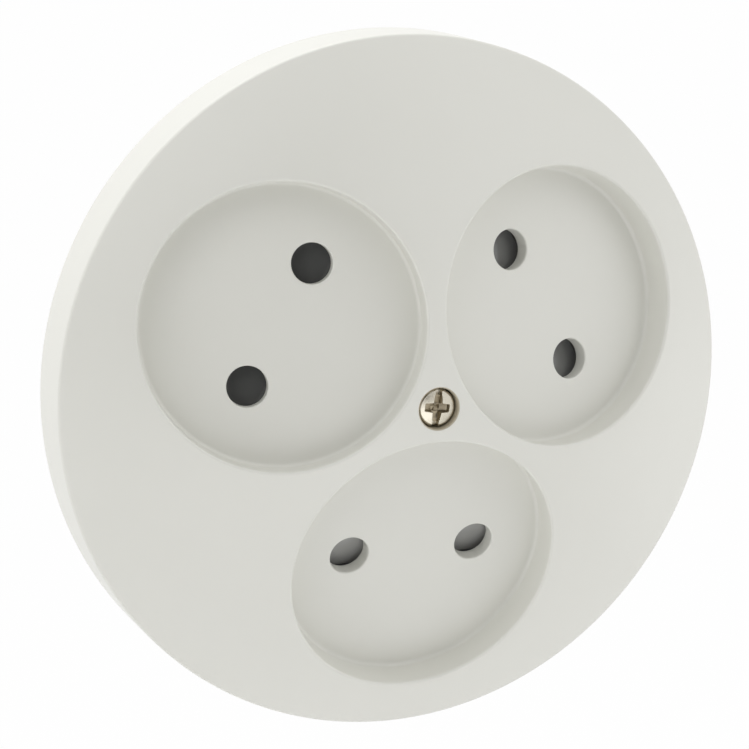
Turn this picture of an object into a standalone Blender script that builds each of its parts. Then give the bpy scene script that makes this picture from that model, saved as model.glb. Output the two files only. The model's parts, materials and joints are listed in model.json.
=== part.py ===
"""Three-way flush wall socket, two-pin, with its insert, contacts, shutters and fixings.

Everything is modelled lying on its back: x to the right, y up, z out of the wall, in metres.
A parent empty then turns it upright, so the front faces -Y and the wall is the plane Y = 0.
Each of the three sockets has a frame of its own, at the middle of its dish's floor:
x runs down the slope and away from the middle screw, y along the line of the pins, z out of the dish.
"""
from math import asin, atan2, cos, degrees, hypot, pi, radians, sin, sqrt, tan

import bmesh
import bpy
from mathutils import Matrix, Vector

MM = 0.001

# Clearances
SEAT = 0.3 * MM
SLIDE = 0.3 * MM

# How far a cutter reaches past the face that it opens
PAST = 1.0 * MM

# Cover: a shallow spherical dome on a short skirt
COVER_RADIUS = 50.0 * MM
COVER_WALL = 2.2 * MM
SKIRT_DRAFT = 0.15 * MM
RIM_HEIGHT = 9.3 * MM
RIM_FILLET = 0.7 * MM
CROWN_HEIGHT = 23.1 * MM
COVER_RIB = 1.6 * MM
RIB_LEDGE = 1.1 * MM
RIB_BITE = 4.7 * MM
RIB_ROOM = 0.8 * MM

# Dishes: round recesses, square to the dome
DISH_RADIUS = 19.6 * MM
DISH_DEPTH = 4.9 * MM
DISH_GAP = 2.11 * MM
DISH_FLOOR = 2.1 * MM
DISH_WALL = 1.6 * MM
DISH_COVE = 0.6 * MM
DISH_LIP = 0.5 * MM
SOCKET_ANGLES = {"left": radians(150), "right": radians(30), "lower": radians(270)}
SEAM_ANGLES = [radians(90), radians(210), radians(330)]

# Plug pins and what they pass
PIN_PITCH = 19.0 * MM
PIN_LENGTH = 19.0 * MM
PIN_RADIUS = 2.4 * MM
PIN_HOLE_RADIUS = 2.86 * MM

# Middle screw
SCREW_RADIUS = 1.5 * MM
SCREW_LENGTH = 13.7 * MM
SCREW_HEAD_RADIUS = 2.7 * MM
SCREW_HEAD_HEIGHT = 1.9 * MM
SCREW_HEAD_SINK = 0.6 * MM
SCREW_HEAD_CROWN = 0.9 * MM
RECESS_TURN = radians(-7)
RECESS_ARM = 1.75 * MM
RECESS_WIDTH = 0.85 * MM
RECESS_DEPTH = 1.3 * MM
HEAD_SLOT_DEPTH = 0.85 * MM
DRIVER_SLOT = 0.7 * MM
COUNTERBORE_RADIUS = 3.05 * MM
COLUMN_RADIUS = 8.5 * MM
INSERT_WALL = 0.8 * MM
INSERT_LENGTH = 7.5 * MM

# Insert moulding
FLANGE_REACH = 11.0 * MM
FLANGE_THICKNESS = 2.6 * MM
TURRET_REACH = 1.0 * MM
POT_WALL = 1.6 * MM
POT_TUCK = 2.165 * MM
BASE_TOP_DROP = 0.7 * MM
CORE_RADIUS = 3.2 * MM
CORE_OFFSET = 0.5 * MM
CORE_TOP = 7.0 * MM
LUG_HEIGHT = 3.1 * MM
LUG_LENGTH = 5.0 * MM
LUG_THICKNESS = 1.6 * MM
LUG_EDGE = 1.0 * MM

# Steel mounting plate, with slots for the box's two screws 60 mm apart
PLATE_EDGE = 1.0 * MM
PLATE_THICKNESS = 1.0 * MM
BOX_SLOT_WIDTH = 3.6 * MM
BOX_SLOT_EDGE = 2.2 * MM
BOX_SLOT_HALF_ANGLE = radians(8)
DRIVER_NOTCH_RADIUS = 3.4 * MM
RIVET_EDGE = 4.2 * MM
RIVET_RADIUS = 1.5 * MM
RIVET_HEAD_RADIUS = 2.8 * MM
RIVET_HEAD_HEIGHT = 1.0 * MM

# Shutter, its pocket and its spring
SHUTTER_THICKNESS = 4.5 * MM
SHUTTER_COVER = 0.45 * MM
SHUTTER_BODY_HALF = 6.3 * MM
SHUTTER_BODY_OUT = 3.5 * MM
WINDOW_HALF = 2.6 * MM
WINDOW_OUT = 2.2 * MM
POST_THICKNESS = 1.2 * MM
SHUTTER_END_WALL = 1.5 * MM
TRAVEL_SPARE = 0.2 * MM
SPRING_ROOM = 9.0 * MM
RAMP_FLAT = 0.9 * MM
RAMP_DROP = 0.9 * MM
SPRING_RADIUS = 1.7 * MM
SPRING_WIRE = 0.2 * MM
SPRING_TURNS = 5

# Contacts, bars and terminals
GUIDE_WEB = 1.6 * MM
CONTACT_STRIP = 0.5 * MM
CONTACT_WIDTH = 4.4 * MM
CONTACT_HALF = 2.65 * MM
CONTACT_PINCH = 2.1 * MM
CONTACT_FLARE = 2.9 * MM
CONTACT_TOP_GAP = 0.8 * MM
CONTACT_NECK = 2.1 * MM
CONTACT_SHOULDER = 3.6 * MM
PIN_TIP_ROOM = 0.3 * MM
BAR_THICKNESS = 0.8 * MM
BAR_RING_INNER = 5.2 * MM
BAR_RING_OUTER = 9.2 * MM
BAR_ARM_WIDTH = 4.0 * MM
BAR_PAD_RADIUS = 3.5 * MM
BAR_STEP_ROOM = 1.4 * MM
INSULATION = 2.2 * MM
BACK_PLATE_THICKNESS = 1.8 * MM
TERMINAL_ANGLES = {"live": radians(210), "neutral": radians(330)}
TERMINAL_EDGE = 2.4 * MM
TERMINAL_SIDE = 8.0 * MM
TERMINAL_SCREW_BITE = 2.4 * MM
WIRE_HOLE_RADIUS = 1.5 * MM
WIRE_HOLE_EDGE = 0.8 * MM
TERMINAL_SCREW_RADIUS = 1.3 * MM
TERMINAL_SCREW_HEAD_RADIUS = 2.6 * MM
TERMINAL_SCREW_HEAD_HEIGHT = 1.8 * MM
BACK_SCREW_ANGLES = {"upper": radians(90), "lower": radians(270)}
BACK_SCREW_EDGE = 3.9 * MM
BACK_SCREW_RADIUS = 1.2 * MM
BACK_SCREW_BITE = 5.0 * MM
BACK_SCREW_HEAD_RADIUS = 2.3 * MM
BACK_SCREW_HEAD_HEIGHT = 1.5 * MM

# Facets round a full turn
FINE_SIDES = 80
MEDIUM_SIDES = 56
ROUND_SIDES = 44
SMALL_SIDES = 20
COIL_SIDES = 8
WIRE_SIDES = 4

# Heights and places that follow from the sizes above
RIM_RADIUS = COVER_RADIUS - SKIRT_DRAFT
DOME_RISE = CROWN_HEIGHT - RIM_HEIGHT
DOME_RADIUS = (RIM_RADIUS**2 + DOME_RISE**2) / (2 * DOME_RISE)
DOME_CENTRE = CROWN_HEIGHT - DOME_RADIUS
RIM_PLANE_DISTANCE = sqrt(DOME_RADIUS**2 - DISH_RADIUS**2)
FLOOR_DISTANCE = RIM_PLANE_DISTANCE - DISH_DEPTH
DISH_PLACE = (2 * DISH_RADIUS + DISH_GAP) / sqrt(3)
DISH_TILT = asin(DISH_PLACE / RIM_PLANE_DISTANCE)
FLOOR_PLACE = FLOOR_DISTANCE * sin(DISH_TILT)
FLOOR_HEIGHT = DOME_CENTRE + FLOOR_DISTANCE * cos(DISH_TILT)
FLOOR_APEX = FLOOR_HEIGHT + FLOOR_PLACE * tan(DISH_TILT)

FACET_DEPTH = DISH_FLOOR + SEAT
POCKET_DEPTH = FACET_DEPTH + SHUTTER_THICKNESS + SLIDE
CHAMBER_DEPTH = POCKET_DEPTH + GUIDE_WEB

POT_INNER = hypot(DISH_PLACE, (PIN_PITCH + CONTACT_WIDTH) / 2) - POT_TUCK
POT_RADIUS = POT_INNER + POT_WALL
BOX_SCREW_PLACE = POT_RADIUS + BOX_SLOT_EDGE + BOX_SLOT_WIDTH / 2
TURRET_RADIUS = BOX_SCREW_PLACE + TURRET_REACH
FLANGE_RADIUS = BOX_SCREW_PLACE + FLANGE_REACH
PLATE_RADIUS = FLANGE_RADIUS + PLATE_EDGE
RIVET_PLACE = FLANGE_RADIUS - RIVET_EDGE
TERMINAL_PLACE = POT_INNER - TERMINAL_EDGE - TERMINAL_SIDE / 2
BAR_STEP_PLACE = TERMINAL_PLACE - TERMINAL_SIDE / 2 - BAR_STEP_ROOM
BACK_SCREW_PLACE = POT_INNER - BACK_SCREW_EDGE
CORE_PLACE = TERMINAL_PLACE - CORE_OFFSET

FLANGE_BACK = PLATE_THICKNESS + SEAT
FLANGE_FRONT = FLANGE_BACK + FLANGE_THICKNESS
BASE_TOP = FLOOR_APEX - FACET_DEPTH / cos(DISH_TILT) - BASE_TOP_DROP
COLUMN_BOTTOM = BASE_TOP + SEAT

HEAD_SEAT = CROWN_HEIGHT - SCREW_HEAD_SINK - SCREW_HEAD_HEIGHT
COUNTERBORE_FLOOR = HEAD_SEAT - SEAT
INSERT_BORE = SCREW_RADIUS + SEAT
INSERT_RADIUS = INSERT_BORE + INSERT_WALL

PIN_TIP_HEIGHT = FLOOR_HEIGHT - PIN_LENGTH * cos(DISH_TILT) - PIN_RADIUS * sin(DISH_TILT)
FOOT_FRONT = PIN_TIP_HEIGHT - PIN_TIP_ROOM
CEILING = FOOT_FRONT - CONTACT_STRIP
BAR_FRONT = CEILING - SEAT
BAR_BACK = BAR_FRONT - BAR_THICKNESS
INSULATION_FRONT = BAR_BACK - SEAT
INSULATION_BACK = INSULATION_FRONT - INSULATION
LOW_BAR_FRONT = INSULATION_BACK - SEAT
LOW_BAR_BACK = LOW_BAR_FRONT - BAR_THICKNESS
BACK_PLATE_FRONT = LOW_BAR_BACK - SEAT
BACK_PLATE_BACK = BACK_PLATE_FRONT - BACK_PLATE_THICKNESS
POT_BACK = BACK_PLATE_BACK

SHUTTER_HALF = PIN_HOLE_RADIUS + SHUTTER_COVER
WING_SIDE = PIN_PITCH / 2 + SHUTTER_HALF
POST_OUT = WINDOW_OUT - SPRING_ROOM
POST_IN = POST_OUT - POST_THICKNESS
WINDOW_IN = POST_IN - SLIDE
SHUTTER_BODY_IN = WINDOW_IN - SHUTTER_END_WALL
SHUTTER_TRAVEL = SHUTTER_HALF + PIN_RADIUS + TRAVEL_SPARE

WIRE_HOLE_HEIGHT = BACK_PLATE_BACK - WIRE_HOLE_EDGE - WIRE_HOLE_RADIUS
TERMINAL_FRONT = BAR_BACK - SEAT
TERMINAL_BACK = WIRE_HOLE_HEIGHT - WIRE_HOLE_RADIUS - TERMINAL_SCREW_BITE


def clear_scene():
    """Empties the file."""
    for item in list(bpy.data.objects):
        bpy.data.objects.remove(item)


def material(name, colour, roughness, metallic=0.0):
    """A plain surface of one colour."""
    made = bpy.data.materials.new(name)
    made.use_nodes = True
    shader = made.node_tree.nodes["Principled BSDF"]
    shader.inputs["Base Color"].default_value = (*colour, 1.0)
    shader.inputs["Roughness"].default_value = roughness
    shader.inputs["Metallic"].default_value = metallic
    made.diffuse_color = (*colour, 1.0)
    return made


def cover_plastic():
    return material("cover_plastic", (0.66, 0.66, 0.61), 0.38)


def insert_plastic():
    return material("insert_plastic", (0.10, 0.10, 0.10), 0.5)


def shutter_plastic():
    return material("shutter_plastic", (0.13, 0.13, 0.13), 0.45)


def insulating_plastic():
    return material("insulating_plastic", (0.32, 0.10, 0.05), 0.55)


def plate_steel():
    return material("plate_steel", (0.56, 0.56, 0.55), 0.35, 1.0)


def contact_brass():
    return material("contact_brass", (0.72, 0.53, 0.26), 0.3, 1.0)


def screw_nickel():
    return material("screw_nickel", (0.62, 0.57, 0.47), 0.28, 1.0)


def spring_steel():
    return material("spring_steel", (0.5, 0.5, 0.5), 0.3, 1.0)


def plate_frame():
    """The empty that stands the lying model upright on the wall."""
    empty = bpy.data.objects.new("plate_frame", None)
    empty.rotation_euler = (radians(90), 0, 0)
    bpy.context.collection.objects.link(empty)
    return empty


def socket_frame(name, angle, parent):
    """The empty at the middle of one dish's floor, square to the dome."""
    empty = bpy.data.objects.new("frame_" + name, None)
    empty.parent = parent
    empty.location = (FLOOR_PLACE * cos(angle), FLOOR_PLACE * sin(angle), FLOOR_HEIGHT)
    empty.rotation_euler = (0, DISH_TILT, angle)
    bpy.context.collection.objects.link(empty)
    return empty


def place(name, bm, parent, matrix=None):
    """Makes an object of a bmesh, with its faces turned outwards."""
    bmesh.ops.recalc_face_normals(bm, faces=bm.faces)
    mesh = bpy.data.meshes.new(name)
    bm.to_mesh(mesh)
    bm.free()
    item = bpy.data.objects.new(name, mesh)
    item.parent = parent
    if matrix is not None:
        mesh.transform(matrix)
    bpy.context.collection.objects.link(item)
    return item


def turned(name, profile, parent, segments=ROUND_SIDES, matrix=None, phase=0.5):
    """A solid of revolution about z, from a closed half-section of (radius, height) points."""
    bm = bmesh.new()
    rings = []
    turns = [2 * pi * (i + phase) / segments for i in range(segments)]
    for radius, height in profile:
        if radius == 0:
            rings.append([bm.verts.new((0, 0, height))])
            continue
        rings.append([bm.verts.new((radius * cos(t), radius * sin(t), height)) for t in turns])
    for ring, other in zip(rings, rings[1:] + rings[:1]):
        if len(ring) == 1 and len(other) == 1:
            continue
        for i in range(segments):
            j = (i + 1) % segments
            corners = [ring[i % len(ring)], ring[j % len(ring)], other[j % len(other)], other[i % len(other)]]
            bm.faces.new(dict.fromkeys(corners))
    return place(name, bm, parent, matrix)


def prism(name, outline, low, high, parent, matrix=None):
    """A flat outline of (x, y) points, extruded from one height to another."""
    bm = bmesh.new()
    face = bm.faces.new([bm.verts.new((x, y, low)) for x, y in outline])
    lifted = bmesh.ops.extrude_face_region(bm, geom=[face])["geom"]
    corners = [v for v in lifted if isinstance(v, bmesh.types.BMVert)]
    bmesh.ops.translate(bm, verts=corners, vec=(0, 0, high - low))
    return place(name, bm, parent, matrix)


def block(name, lows, highs, parent, matrix=None):
    """A box between two corners."""
    outline = [(lows[0], lows[1]), (highs[0], lows[1]), (highs[0], highs[1]), (lows[0], highs[1])]
    return prism(name, outline, lows[2], highs[2], parent, matrix)


def rod(name, radius, low, high, parent, segments=SMALL_SIDES, matrix=None, phase=0.5):
    """A cylinder about z."""
    profile = [(0, low), (radius, low), (radius, high), (0, high)]
    return turned(name, profile, parent, segments, matrix, phase)


def at_angle(angle, distance=0.0):
    """Turns about the plate's axis, then moves out along the turned x."""
    return Matrix.Rotation(angle, 4, "Z") @ Matrix.Translation((distance, 0, 0))


def upright(matrix=Matrix.Identity(4)):
    """Stands an outline drawn in (x, z) up, with its thickness along y, and then places it."""
    return matrix @ Matrix.Rotation(radians(90), 4, "X")


def arc(centre, radius, start, stop, steps):
    """Points on an arc, both ends included, angles in degrees."""
    angles = [radians(start + (stop - start) * i / steps) for i in range(steps + 1)]
    return [(centre[0] + radius * cos(a), centre[1] + radius * sin(a)) for a in angles]


def strip(points, thickness):
    """The outline of a bent strip of one thickness that follows a line of points, corners mitred."""
    sides = []
    for i, point in enumerate(points):
        before = points[max(i - 1, 0)]
        after = points[min(i + 1, len(points) - 1)]
        first = Vector((point[0] - before[0], point[1] - before[1]))
        second = Vector((after[0] - point[0], after[1] - point[1]))
        first = first.normalized() if first.length else second.normalized()
        second = second.normalized() if second.length else first
        middle = (first + second).normalized()
        reach = thickness / 2 / max(middle.dot(first), 0.5)
        sides.append(Vector((-middle.y, middle.x)) * reach)
    left = [(p[0] + s.x, p[1] + s.y) for p, s in zip(points, sides)]
    right = [(p[0] - s.x, p[1] - s.y) for p, s in zip(points, sides)]
    return left + right[::-1]


def boolean(target, operation, tools):
    """Joins the tools to the target, or cuts them from it, and removes them."""
    for tool in tools:
        tool.hide_render = True
        tool.display_type = "WIRE"
        modifier = target.modifiers.new(tool.name, "BOOLEAN")
        modifier.operation = operation
        modifier.solver = "EXACT"
        modifier.object = tool
    bpy.context.view_layer.update()
    depsgraph = bpy.context.evaluated_depsgraph_get()
    mesh = bpy.data.meshes.new_from_object(target.evaluated_get(depsgraph))
    target.modifiers.clear()
    target.data = mesh
    for tool in tools:
        bpy.data.objects.remove(tool)


def finish(item, surface, angle=35):
    """Gives the piece its material and smooth shading between its sharp edges."""
    item.data.materials.clear()
    item.data.materials.append(surface)
    item.data.shade_smooth()
    item.data.set_sharp_from_angle(angle=radians(angle))
    return item


def dome_point(radius, angle_from_axis):
    """A point of the dome's half-section, on a sphere of the given radius."""
    return radius * sin(angle_from_axis), DOME_CENTRE + radius * cos(angle_from_axis)


def cover_shell(parent):
    """The dome and its skirt, as a shell of one wall."""
    fillet_centre = (RIM_RADIUS - RIM_FILLET, 0.0)
    reach = DOME_RADIUS - RIM_FILLET
    tilt = atan2(fillet_centre[0], sqrt(reach**2 - fillet_centre[0]**2))
    fillet_height = DOME_CENTRE + reach * cos(tilt)
    outer = [dome_point(DOME_RADIUS, tilt * i / 8) for i in range(8)]
    outer[0] = (0, CROWN_HEIGHT)
    rounding = arc((fillet_centre[0], fillet_height), RIM_FILLET, 90 - degrees(tilt), 0, 3)
    inner_radius = COVER_RADIUS - COVER_WALL
    inner_dome = DOME_RADIUS - COVER_WALL
    inner_tilt = atan2(inner_radius, sqrt(inner_dome**2 - inner_radius**2))
    inner = [dome_point(inner_dome, inner_tilt * i / 4) for i in range(4, -1, -1)]
    inner[-1] = (0, CROWN_HEIGHT - COVER_WALL)
    profile = outer + rounding + [(COVER_RADIUS, 0), (inner_radius, 0)] + inner
    return turned("cover", profile, parent, FINE_SIDES)


def dish_cup(frame, phase):
    """The wall and floor that hang under the dome round one dish."""
    radius = DISH_RADIUS + DISH_WALL
    top = sqrt(DOME_RADIUS**2 - radius**2) - FLOOR_DISTANCE - COVER_WALL / 4
    return rod("cup", radius, -DISH_FLOOR, top, frame, ROUND_SIDES, phase=phase)


def dish_cutter(frame):
    """The hollow of one dish: flat floor, small cove, straight wall and a rounded lip."""
    lip_radius = DISH_RADIUS + DISH_LIP
    surface = sqrt(DOME_RADIUS**2 - lip_radius**2) - FLOOR_DISTANCE
    cove = arc((DISH_RADIUS - DISH_COVE, DISH_COVE), DISH_COVE, -90, 0, 2)
    lip = arc((lip_radius, surface - DISH_LIP), DISH_LIP, 180, 120, 3)
    reach = 3 * PAST
    leave = (lip[-1][0] + reach * cos(radians(30)), lip[-1][1] + reach * sin(radians(30)))
    top = 3 * DISH_DEPTH
    profile = [(0, 0)] + cove + lip + [leave, (leave[0], top), (0, top)]
    return turned("dish", profile, frame, MEDIUM_SIDES)


def pin_hole(frame, side):
    """One round hole through a dish's floor."""
    return rod("hole", PIN_HOLE_RADIUS, -2 * DISH_FLOOR, DISH_FLOOR, frame, SMALL_SIDES + 4,
               Matrix.Translation((0, side * PIN_PITCH / 2, 0)))


def ridge_height(distance, apex, depth):
    """Height of the seam between two sockets' planes that lie a depth under the dish floors."""
    return apex - depth / cos(DISH_TILT) - distance * cos(radians(60)) * tan(DISH_TILT)


def cover_rib(parent, angle):
    """A rib from the cups to the skirt, clear of the insert's turret and standing low outside it."""
    start = FLOOR_PLACE * cos(radians(60)) + RIB_BITE
    step = TURRET_RADIUS + RIB_ROOM
    stop = COVER_RADIUS - COVER_WALL / 2
    clear = FACET_DEPTH - 3 * SEAT
    low = FLANGE_FRONT + RIB_LEDGE
    middle = DOME_RADIUS - COVER_WALL / 2
    top = [(stop, RIM_HEIGHT - COVER_WALL / 2)]
    top += [dome_point(middle, asin((stop + (start - stop) * share) / middle)) for share in (0.25, 0.6, 1)]
    outline = [(start, ridge_height(start, FLOOR_APEX, clear)), (step, ridge_height(step, FLOOR_APEX, clear)),
               (step, low), (stop, low)] + top
    return prism("rib", outline, -COVER_RIB / 2, COVER_RIB / 2, parent, upright(at_angle(angle)))


def make_cover(parent, frames):
    """The white moulding: dome, skirt, three dishes, six pin holes and the screw's column."""
    cover = cover_shell(parent)
    column_top = CROWN_HEIGHT - COVER_WALL / 2
    added = [rod("column", COLUMN_RADIUS, COLUMN_BOTTOM, column_top, parent, SMALL_SIDES)]
    added += [dish_cup(frame, 0.2 + 0.3 * i) for i, frame in enumerate(frames.values())]
    added += [cover_rib(parent, angle) for angle in SEAM_ANGLES]
    boolean(cover, "UNION", added)
    cut = [dish_cutter(frame) for frame in frames.values()]
    cut += [pin_hole(frame, side) for frame in frames.values() for side in (-1, 1)]
    top = 2 * CROWN_HEIGHT
    cut.append(rod("counterbore", COUNTERBORE_RADIUS, COUNTERBORE_FLOOR, top, parent, SMALL_SIDES + 10))
    cut.append(rod("clearance", SCREW_RADIUS + SEAT, COLUMN_BOTTOM - PAST, HEAD_SEAT, parent, SMALL_SIDES))
    boolean(cover, "DIFFERENCE", cut)
    return finish(cover, cover_plastic(), 25)


def screw_profile(radius, tip, seat, head_radius, head_height, crown):
    """Half-section of a screw: pointed shank, flat seat and a head with a rounded top."""
    edge = seat + head_height - crown
    swell = [(head_radius * cos(radians(a)), edge + crown * sin(radians(a))) for a in (0, 30, 60)]
    return [(0, tip), (0.6 * radius, tip), (radius, tip + 0.6 * radius), (radius, seat), (head_radius, seat)
            ] + swell + [(0, seat + head_height)]


def make_cover_screw(parent):
    """The middle screw, with a cross recess in its head and a slot across it."""
    tip = HEAD_SEAT - SCREW_LENGTH
    profile = screw_profile(SCREW_RADIUS, tip, HEAD_SEAT, SCREW_HEAD_RADIUS, SCREW_HEAD_HEIGHT,
                            SCREW_HEAD_CROWN)
    screw = turned("cover_screw", profile, parent, SMALL_SIDES + 4)
    top = HEAD_SEAT + SCREW_HEAD_HEIGHT
    low = (-RECESS_ARM, -RECESS_WIDTH / 2, top - RECESS_DEPTH)
    high = (RECESS_ARM, RECESS_WIDTH / 2, top + PAST)
    cut = [block("recess", low, high, parent, at_angle(RECESS_TURN + turn)) for turn in (0, radians(90))]
    reach = SCREW_HEAD_RADIUS + PAST
    low = (-DRIVER_SLOT / 2, -reach, top - HEAD_SLOT_DEPTH)
    cut.append(block("slot", low, (DRIVER_SLOT / 2, reach, top + PAST), parent, at_angle(RECESS_TURN)))
    boolean(screw, "DIFFERENCE", cut)
    return finish(screw, screw_nickel())


def base_body(parent):
    """Pot, flange and turret of the insert, open at the back."""
    profile = [(0, CEILING), (POT_INNER, CEILING), (POT_INNER, POT_BACK), (POT_RADIUS, POT_BACK),
               (POT_RADIUS, FLANGE_BACK), (FLANGE_RADIUS, FLANGE_BACK), (FLANGE_RADIUS, FLANGE_FRONT),
               (TURRET_RADIUS, FLANGE_FRONT), (TURRET_RADIUS, BASE_TOP), (0, BASE_TOP)]
    return turned("base", profile, parent, MEDIUM_SIDES)


def facet_cutter(frame):
    """Everything in front of one socket's sloping facet."""
    side = 2 * TURRET_RADIUS
    return block("facet", (-side, -side, -FACET_DEPTH), (side, side, CROWN_HEIGHT), frame)


def pocket_outline():
    """The shutter's pocket: a wide part under the pins and a narrow part towards the middle screw."""
    wing_in = -SHUTTER_HALF - SHUTTER_TRAVEL - SLIDE
    wing_out = SHUTTER_HALF + SLIDE
    wing_side = WING_SIDE + SLIDE
    body_side = SHUTTER_BODY_HALF + SLIDE
    body_in = SHUTTER_BODY_IN - SHUTTER_TRAVEL - SLIDE
    body_out = SHUTTER_BODY_OUT + SLIDE
    half = [(body_in, body_side), (wing_in, body_side), (wing_in, wing_side), (wing_out, wing_side),
            (wing_out, body_side), (body_out, body_side)]
    return half + [(x, -y) for x, y in half[::-1]]


def chamber_cutter(frame, side):
    """A contact's chamber, from under the shutter's pocket down to the open back."""
    half_x = CONTACT_FLARE + CONTACT_STRIP / 2 + SEAT / 2
    half_y = CONTACT_WIDTH / 2 + SEAT
    middle = side * PIN_PITCH / 2
    bottom = (CEILING - FLOOR_HEIGHT) / cos(DISH_TILT) - 2 * PAST
    low = (-half_x, middle - half_y, bottom)
    high = (half_x, middle + half_y, -CHAMBER_DEPTH)
    return block("chamber", low, high, frame)


def guide_cutter(frame, side):
    """The round guide between pocket and chamber."""
    return rod("guide", PIN_HOLE_RADIUS, -CHAMBER_DEPTH - PAST, -POCKET_DEPTH + PAST, frame, SMALL_SIDES,
               Matrix.Translation((0, side * PIN_PITCH / 2, 0)))


def spring_post(frame):
    """The post that stands in the shutter's window and holds the inner end of its spring."""
    half = WINDOW_HALF - SLIDE
    low = (POST_IN, -half, -POCKET_DEPTH - PAST)
    high = (POST_OUT, half, -FACET_DEPTH - SLIDE)
    return block("post", low, high, frame)


def rib_lugs(parent, angle):
    """Two lugs on the flange that a rib of the cover drops between."""
    start = FLANGE_RADIUS - LUG_LENGTH - LUG_EDGE
    inner = COVER_RIB / 2 + SLIDE
    top = FLANGE_FRONT + LUG_HEIGHT
    return [block("lug", (start, side * inner, FLANGE_FRONT - PAST / 2),
                  (start + LUG_LENGTH, side * (inner + LUG_THICKNESS), top), parent, at_angle(angle))
            for side in (-1, 1)]


def rivet_holes(parent, low, high):
    """Holes for the two rivets that tie the steel plate to the flange."""
    return [rod("hole", RIVET_RADIUS + SEAT, low, high, parent, SMALL_SIDES, at_angle(angle, RIVET_PLACE))
            for angle in (0, pi)]


def make_base(parent, frames):
    """The insert moulding: flange on the plate, pot in the box, three facets with shutter pockets."""
    base = base_body(parent)
    cut = [facet_cutter(frame) for frame in frames.values()]
    cut += [prism("pocket", pocket_outline(), -POCKET_DEPTH, CROWN_HEIGHT, frame)
            for frame in frames.values()]
    cut += [guide_cutter(frame, side) for frame in frames.values() for side in (-1, 1)]
    cut += [chamber_cutter(frame, side) for frame in frames.values() for side in (-1, 1)]
    cut.append(rod("bush_seat", INSERT_RADIUS + SEAT, BASE_TOP - INSERT_LENGTH - SEAT, CROWN_HEIGHT, parent))
    cut.append(rod("screw_end", INSERT_BORE, HEAD_SEAT - SCREW_LENGTH - SEAT, BASE_TOP, parent))
    cut += [rod("notch", DRIVER_NOTCH_RADIUS, 0, CROWN_HEIGHT, parent, SMALL_SIDES,
                at_angle(radians(30 + 60 * i), BOX_SCREW_PLACE)) for i in range(6)]
    cut += [rod("core", CORE_RADIUS, CEILING - PAST, CORE_TOP, parent, matrix=at_angle(angle, CORE_PLACE))
            for angle in SEAM_ANGLES[1:]]
    cut += rivet_holes(parent, 0, CROWN_HEIGHT)
    cut += back_screw_holes(parent, CEILING - PAST, CEILING + BACK_SCREW_BITE + SEAT)
    boolean(base, "DIFFERENCE", cut)
    added = [spring_post(frame) for frame in frames.values()]
    for angle in SEAM_ANGLES:
        added += rib_lugs(parent, angle)
    boolean(base, "UNION", added)
    return finish(base, insert_plastic())


def make_threaded_insert(parent):
    """The brass bush that the middle screw bites in."""
    low = BASE_TOP - INSERT_LENGTH
    profile = [(INSERT_BORE, low), (INSERT_RADIUS, low), (INSERT_RADIUS, BASE_TOP), (INSERT_BORE, BASE_TOP)]
    return finish(turned("threaded_insert", profile, parent, SMALL_SIDES), contact_brass())


def slot_cutter(parent, angle):
    """A slot that follows the circle of the box's screws, with round ends."""
    inner = BOX_SCREW_PLACE - BOX_SLOT_WIDTH / 2
    outer = BOX_SCREW_PLACE + BOX_SLOT_WIDTH / 2
    half = degrees(BOX_SLOT_HALF_ANGLE)
    end = (BOX_SCREW_PLACE * cos(BOX_SLOT_HALF_ANGLE), BOX_SCREW_PLACE * sin(BOX_SLOT_HALF_ANGLE))
    outline = arc((0, 0), outer, -half, half, 4)
    outline += arc(end, BOX_SLOT_WIDTH / 2, half, half + 180, 8)[1:-1]
    outline += arc((0, 0), inner, half, -half, 4)
    outline += arc((end[0], -end[1]), BOX_SLOT_WIDTH / 2, 180 - half, 360 - half, 8)[1:-1]
    return prism("slot", outline, -PLATE_THICKNESS, 2 * PLATE_THICKNESS, parent, at_angle(angle))


def make_mounting_plate(parent):
    """The steel ring that lies on the wall and takes the box's screws."""
    inner = POT_RADIUS + SEAT
    profile = [(inner, 0), (PLATE_RADIUS, 0), (PLATE_RADIUS, PLATE_THICKNESS), (inner, PLATE_THICKNESS)]
    plate = turned("mounting_plate", profile, parent, MEDIUM_SIDES)
    cut = [slot_cutter(parent, radians(30 + 60 * i)) for i in range(6)]
    cut += rivet_holes(parent, -PAST, 2 * PLATE_THICKNESS)
    boolean(plate, "DIFFERENCE", cut)
    return finish(plate, plate_steel())


def make_rivet(parent, name, angle):
    """A rivet that ties the steel plate to the flange."""
    seat = FLANGE_FRONT + SEAT
    rounding = [(RIVET_HEAD_RADIUS * cos(a), seat + RIVET_HEAD_HEIGHT * (0.4 + 0.6 * sin(a)))
                for a in (0, radians(30), radians(60))]
    profile = [(0, 0), (RIVET_RADIUS, 0), (RIVET_RADIUS, seat), (RIVET_HEAD_RADIUS, seat)] + rounding
    profile.append((0, seat + RIVET_HEAD_HEIGHT))
    rivet = turned("mounting_rivet_" + name, profile, parent, SMALL_SIDES, at_angle(angle, RIVET_PLACE))
    return finish(rivet, plate_steel())


def shutter_outline():
    """The shutter from the front: a body between the pins with a wing over each pin hole."""
    half = [(SHUTTER_BODY_IN, SHUTTER_BODY_HALF), (-SHUTTER_HALF, SHUTTER_BODY_HALF),
            (-SHUTTER_HALF, WING_SIDE), (SHUTTER_HALF, WING_SIDE), (SHUTTER_HALF, SHUTTER_BODY_HALF),
            (SHUTTER_BODY_OUT, SHUTTER_BODY_HALF)]
    return half + [(x, -y) for x, y in half[::-1]]


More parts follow.
